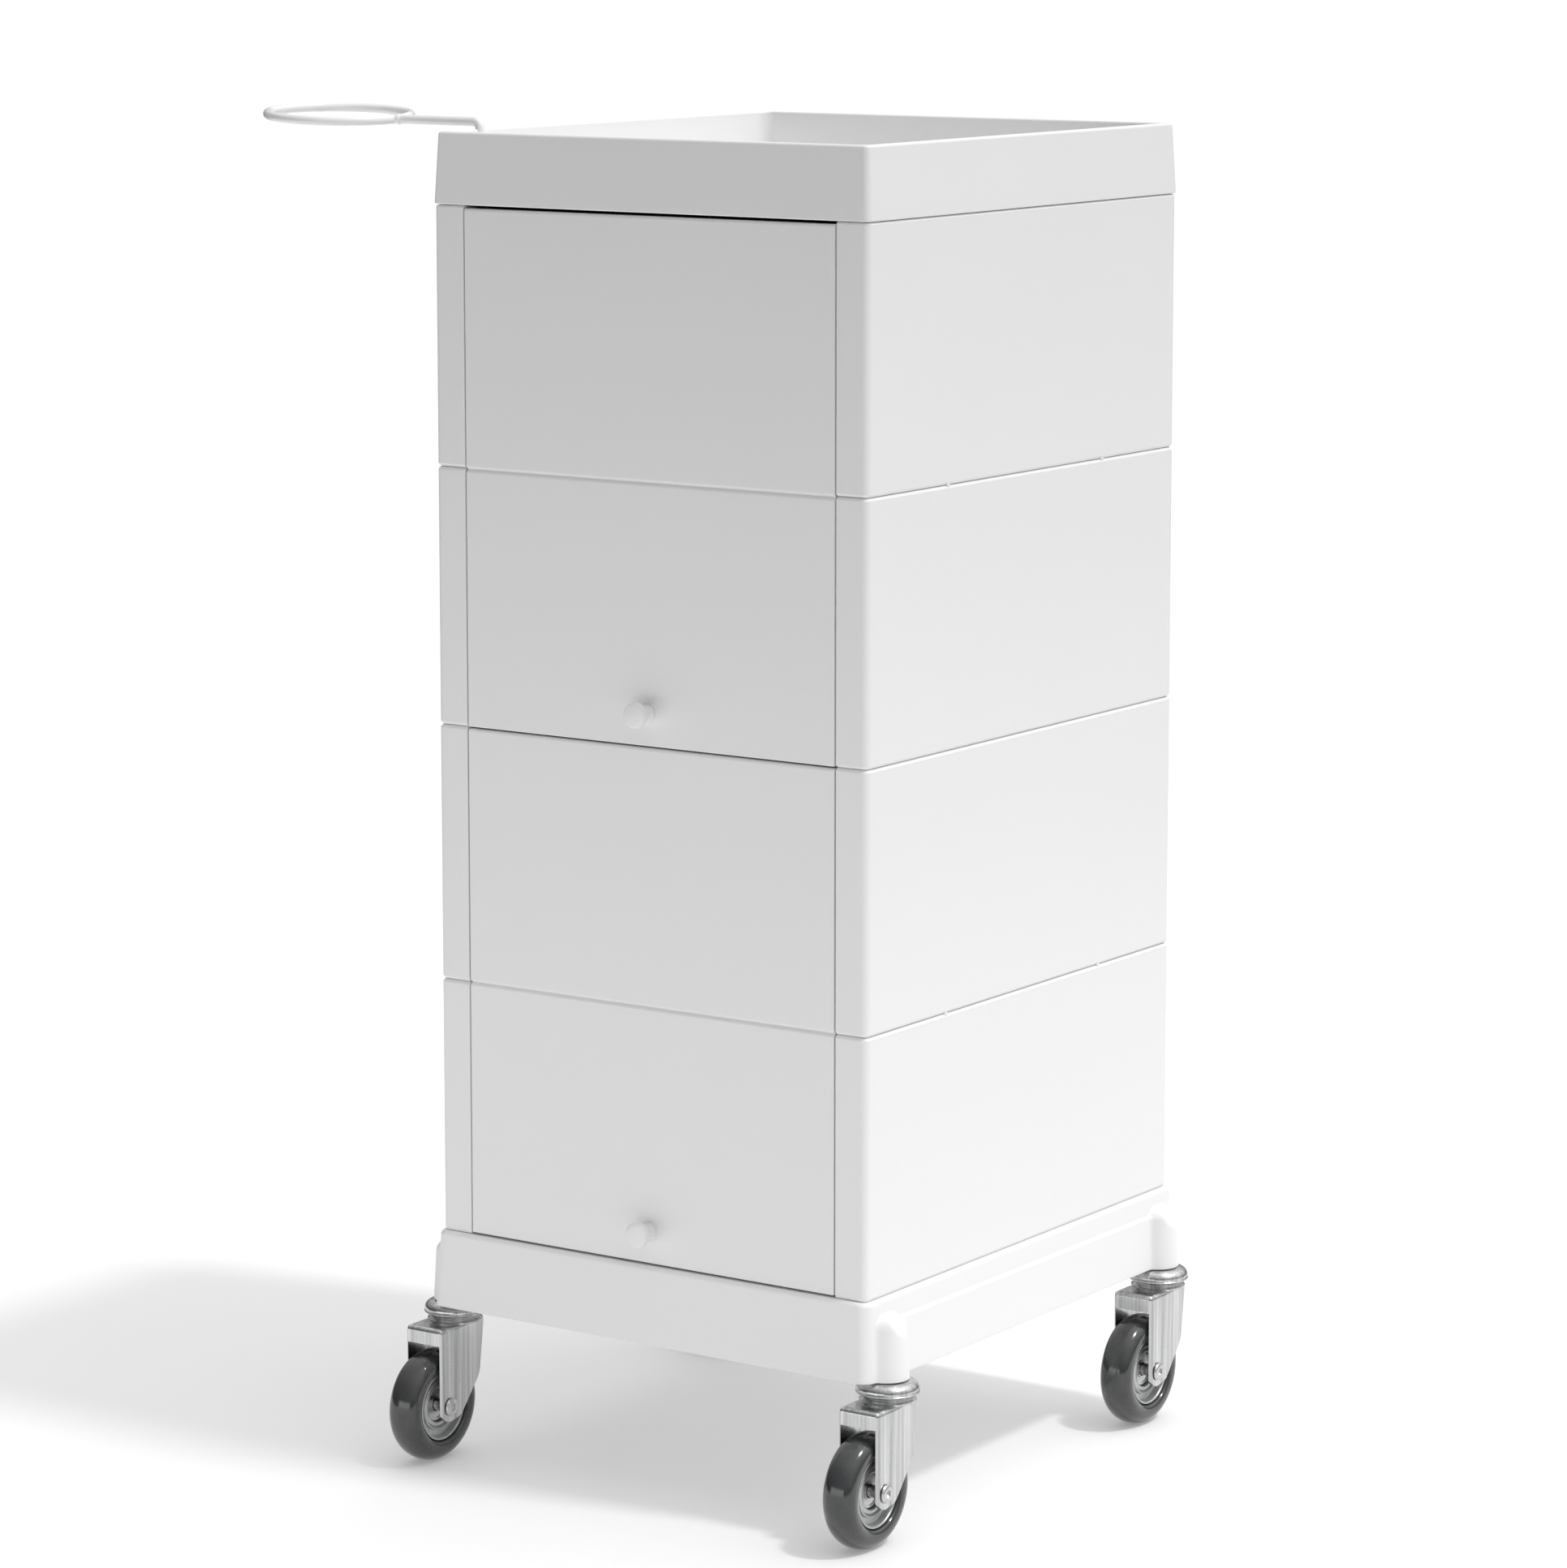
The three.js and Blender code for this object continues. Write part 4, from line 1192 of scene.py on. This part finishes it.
def build_sky():
    """Light that rises from the horizon to overhead, behind a plain white backdrop."""
    world = bpy.data.worlds.new("studio")
    SCENE.world = world
    world.use_nodes = True
    tree = world.node_tree
    tree.nodes.clear()
    out = tree.nodes.new("ShaderNodeOutputWorld")
    mix = tree.nodes.new("ShaderNodeMixShader")
    path = tree.nodes.new("ShaderNodeLightPath")
    backdrop = tree.nodes.new("ShaderNodeBackground")
    backdrop.inputs["Color"].default_value = (1, 1, 1, 1)
    backdrop.inputs["Strength"].default_value = BACKDROP
    light = tree.nodes.new("ShaderNodeBackground")
    place = tree.nodes.new("ShaderNodeTexCoord")

    split = tree.nodes.new("ShaderNodeSeparateXYZ")
    tree.links.new(place.outputs["Generated"], split.inputs["Vector"])
    rise = tree.nodes.new("ShaderNodeMapRange")
    rise.inputs["From Min"].default_value = -1
    rise.inputs["From Max"].default_value = 1
    tree.links.new(split.outputs["Z"], rise.inputs["Value"])
    ramp = tree.nodes.new("ShaderNodeValToRGB")
    stops = ramp.color_ramp.elements
    for stop, where, level in ((stops[0], 0.5, SKY_AT_HORIZON), (stops[1], 0.95, SKY_OVERHEAD)):
        stop.position = where
        stop.color = (level, level, level, 1)
    tree.links.new(rise.outputs["Result"], ramp.inputs["Fac"])
    tree.links.new(ramp.outputs["Color"], light.inputs["Color"])

    lean = tree.nodes.new("ShaderNodeVectorMath")
    lean.operation = "DOT_PRODUCT"
    lean.inputs[1].default_value = SKY_LEAN
    tree.links.new(place.outputs["Generated"], lean.inputs[0])
    strength = tree.nodes.new("ShaderNodeMath")
    strength.operation = "ADD"
    strength.inputs[1].default_value = 1.0
    tree.links.new(lean.outputs["Value"], strength.inputs[0])
    tree.links.new(strength.outputs["Value"], light.inputs["Strength"])

    tree.links.new(path.outputs["Is Camera Ray"], mix.inputs["Fac"])
    tree.links.new(light.outputs["Background"], mix.inputs[1])
    tree.links.new(backdrop.outputs["Background"], mix.inputs[2])
    tree.links.new(mix.outputs["Shader"], out.inputs["Surface"])


def build_floor():
    floor_part = lathe([(0, -0.5), (FLOOR_RADIUS, -0.5), (FLOOR_RADIUS, 0), (0, 0)], 96)
    floor = raw_object("floor", floor_part, CENTRE)
    m = Nodes("floor")
    m.link(m.ramp(m.noise(3.0, 3.0, 0.5), [(0.3, 0.69), (0.7, 0.71)]), m.shader.inputs["Base Color"])
    m.set(Roughness=0.9, Emission_Strength=0.24, Specular_IOR_Level=0.1)
    m.shader.inputs["Emission Color"].default_value = (1, 1, 1, 1)
    floor.data.materials.append(m.material)


def place_lamp(name, data, towards, location=None):
    """A lamp that shines from a direction."""
    lamp = bpy.data.objects.new(name, data)
    SCENE.collection.objects.link(lamp)
    lamp.rotation_euler = Vector(towards).to_track_quat("Z", "Y").to_euler()
    if location is not None:
        lamp.location = location
    return lamp


def build_lamps():
    sun = bpy.data.lights.new("sun", "SUN")
    sun.energy = 1.25
    sun.angle = math.radians(6)
    level = math.cos(SUN_ELEVATION)
    place_lamp("sun", sun, (SUN_HEADING[0] * level, SUN_HEADING[1] * level, math.sin(SUN_ELEVATION)))

    glow = bpy.data.lights.new("low_fill", "AREA")
    glow.shape = "RECTANGLE"
    glow.size = 1.8
    glow.size_y = 0.3
    glow.energy = 3.0
    fill = place_lamp("low_fill", glow, (-0.1, -1.0, -0.05), CENTRE + Vector((-0.2, -1.6, 0.18)))
    fill.visible_camera = False


def build_camera():
    data = bpy.data.cameras.new("camera")
    camera = bpy.data.objects.new("camera", data)
    SCENE.collection.objects.link(camera)
    camera.location = CENTRE + Vector((1.9464, -2.8929, 1.0296))
    camera.rotation_euler = (math.radians(90 - 8.27), 0, math.radians(34.231))
    data.sensor_width = 36
    data.lens = 123.25
    data.shift_y = -0.08
    data.clip_start = 0.05
    data.clip_end = 50
    SCENE.camera = camera
    SCENE.view_settings.view_transform = "Standard"


build_shells()
build_doors()
build_tray()
build_shelf()
build_plinth()
build_holder()
build_casters()
build_sky()
build_floor()
build_lamps()
build_camera()

bpy.context.view_layer.update()
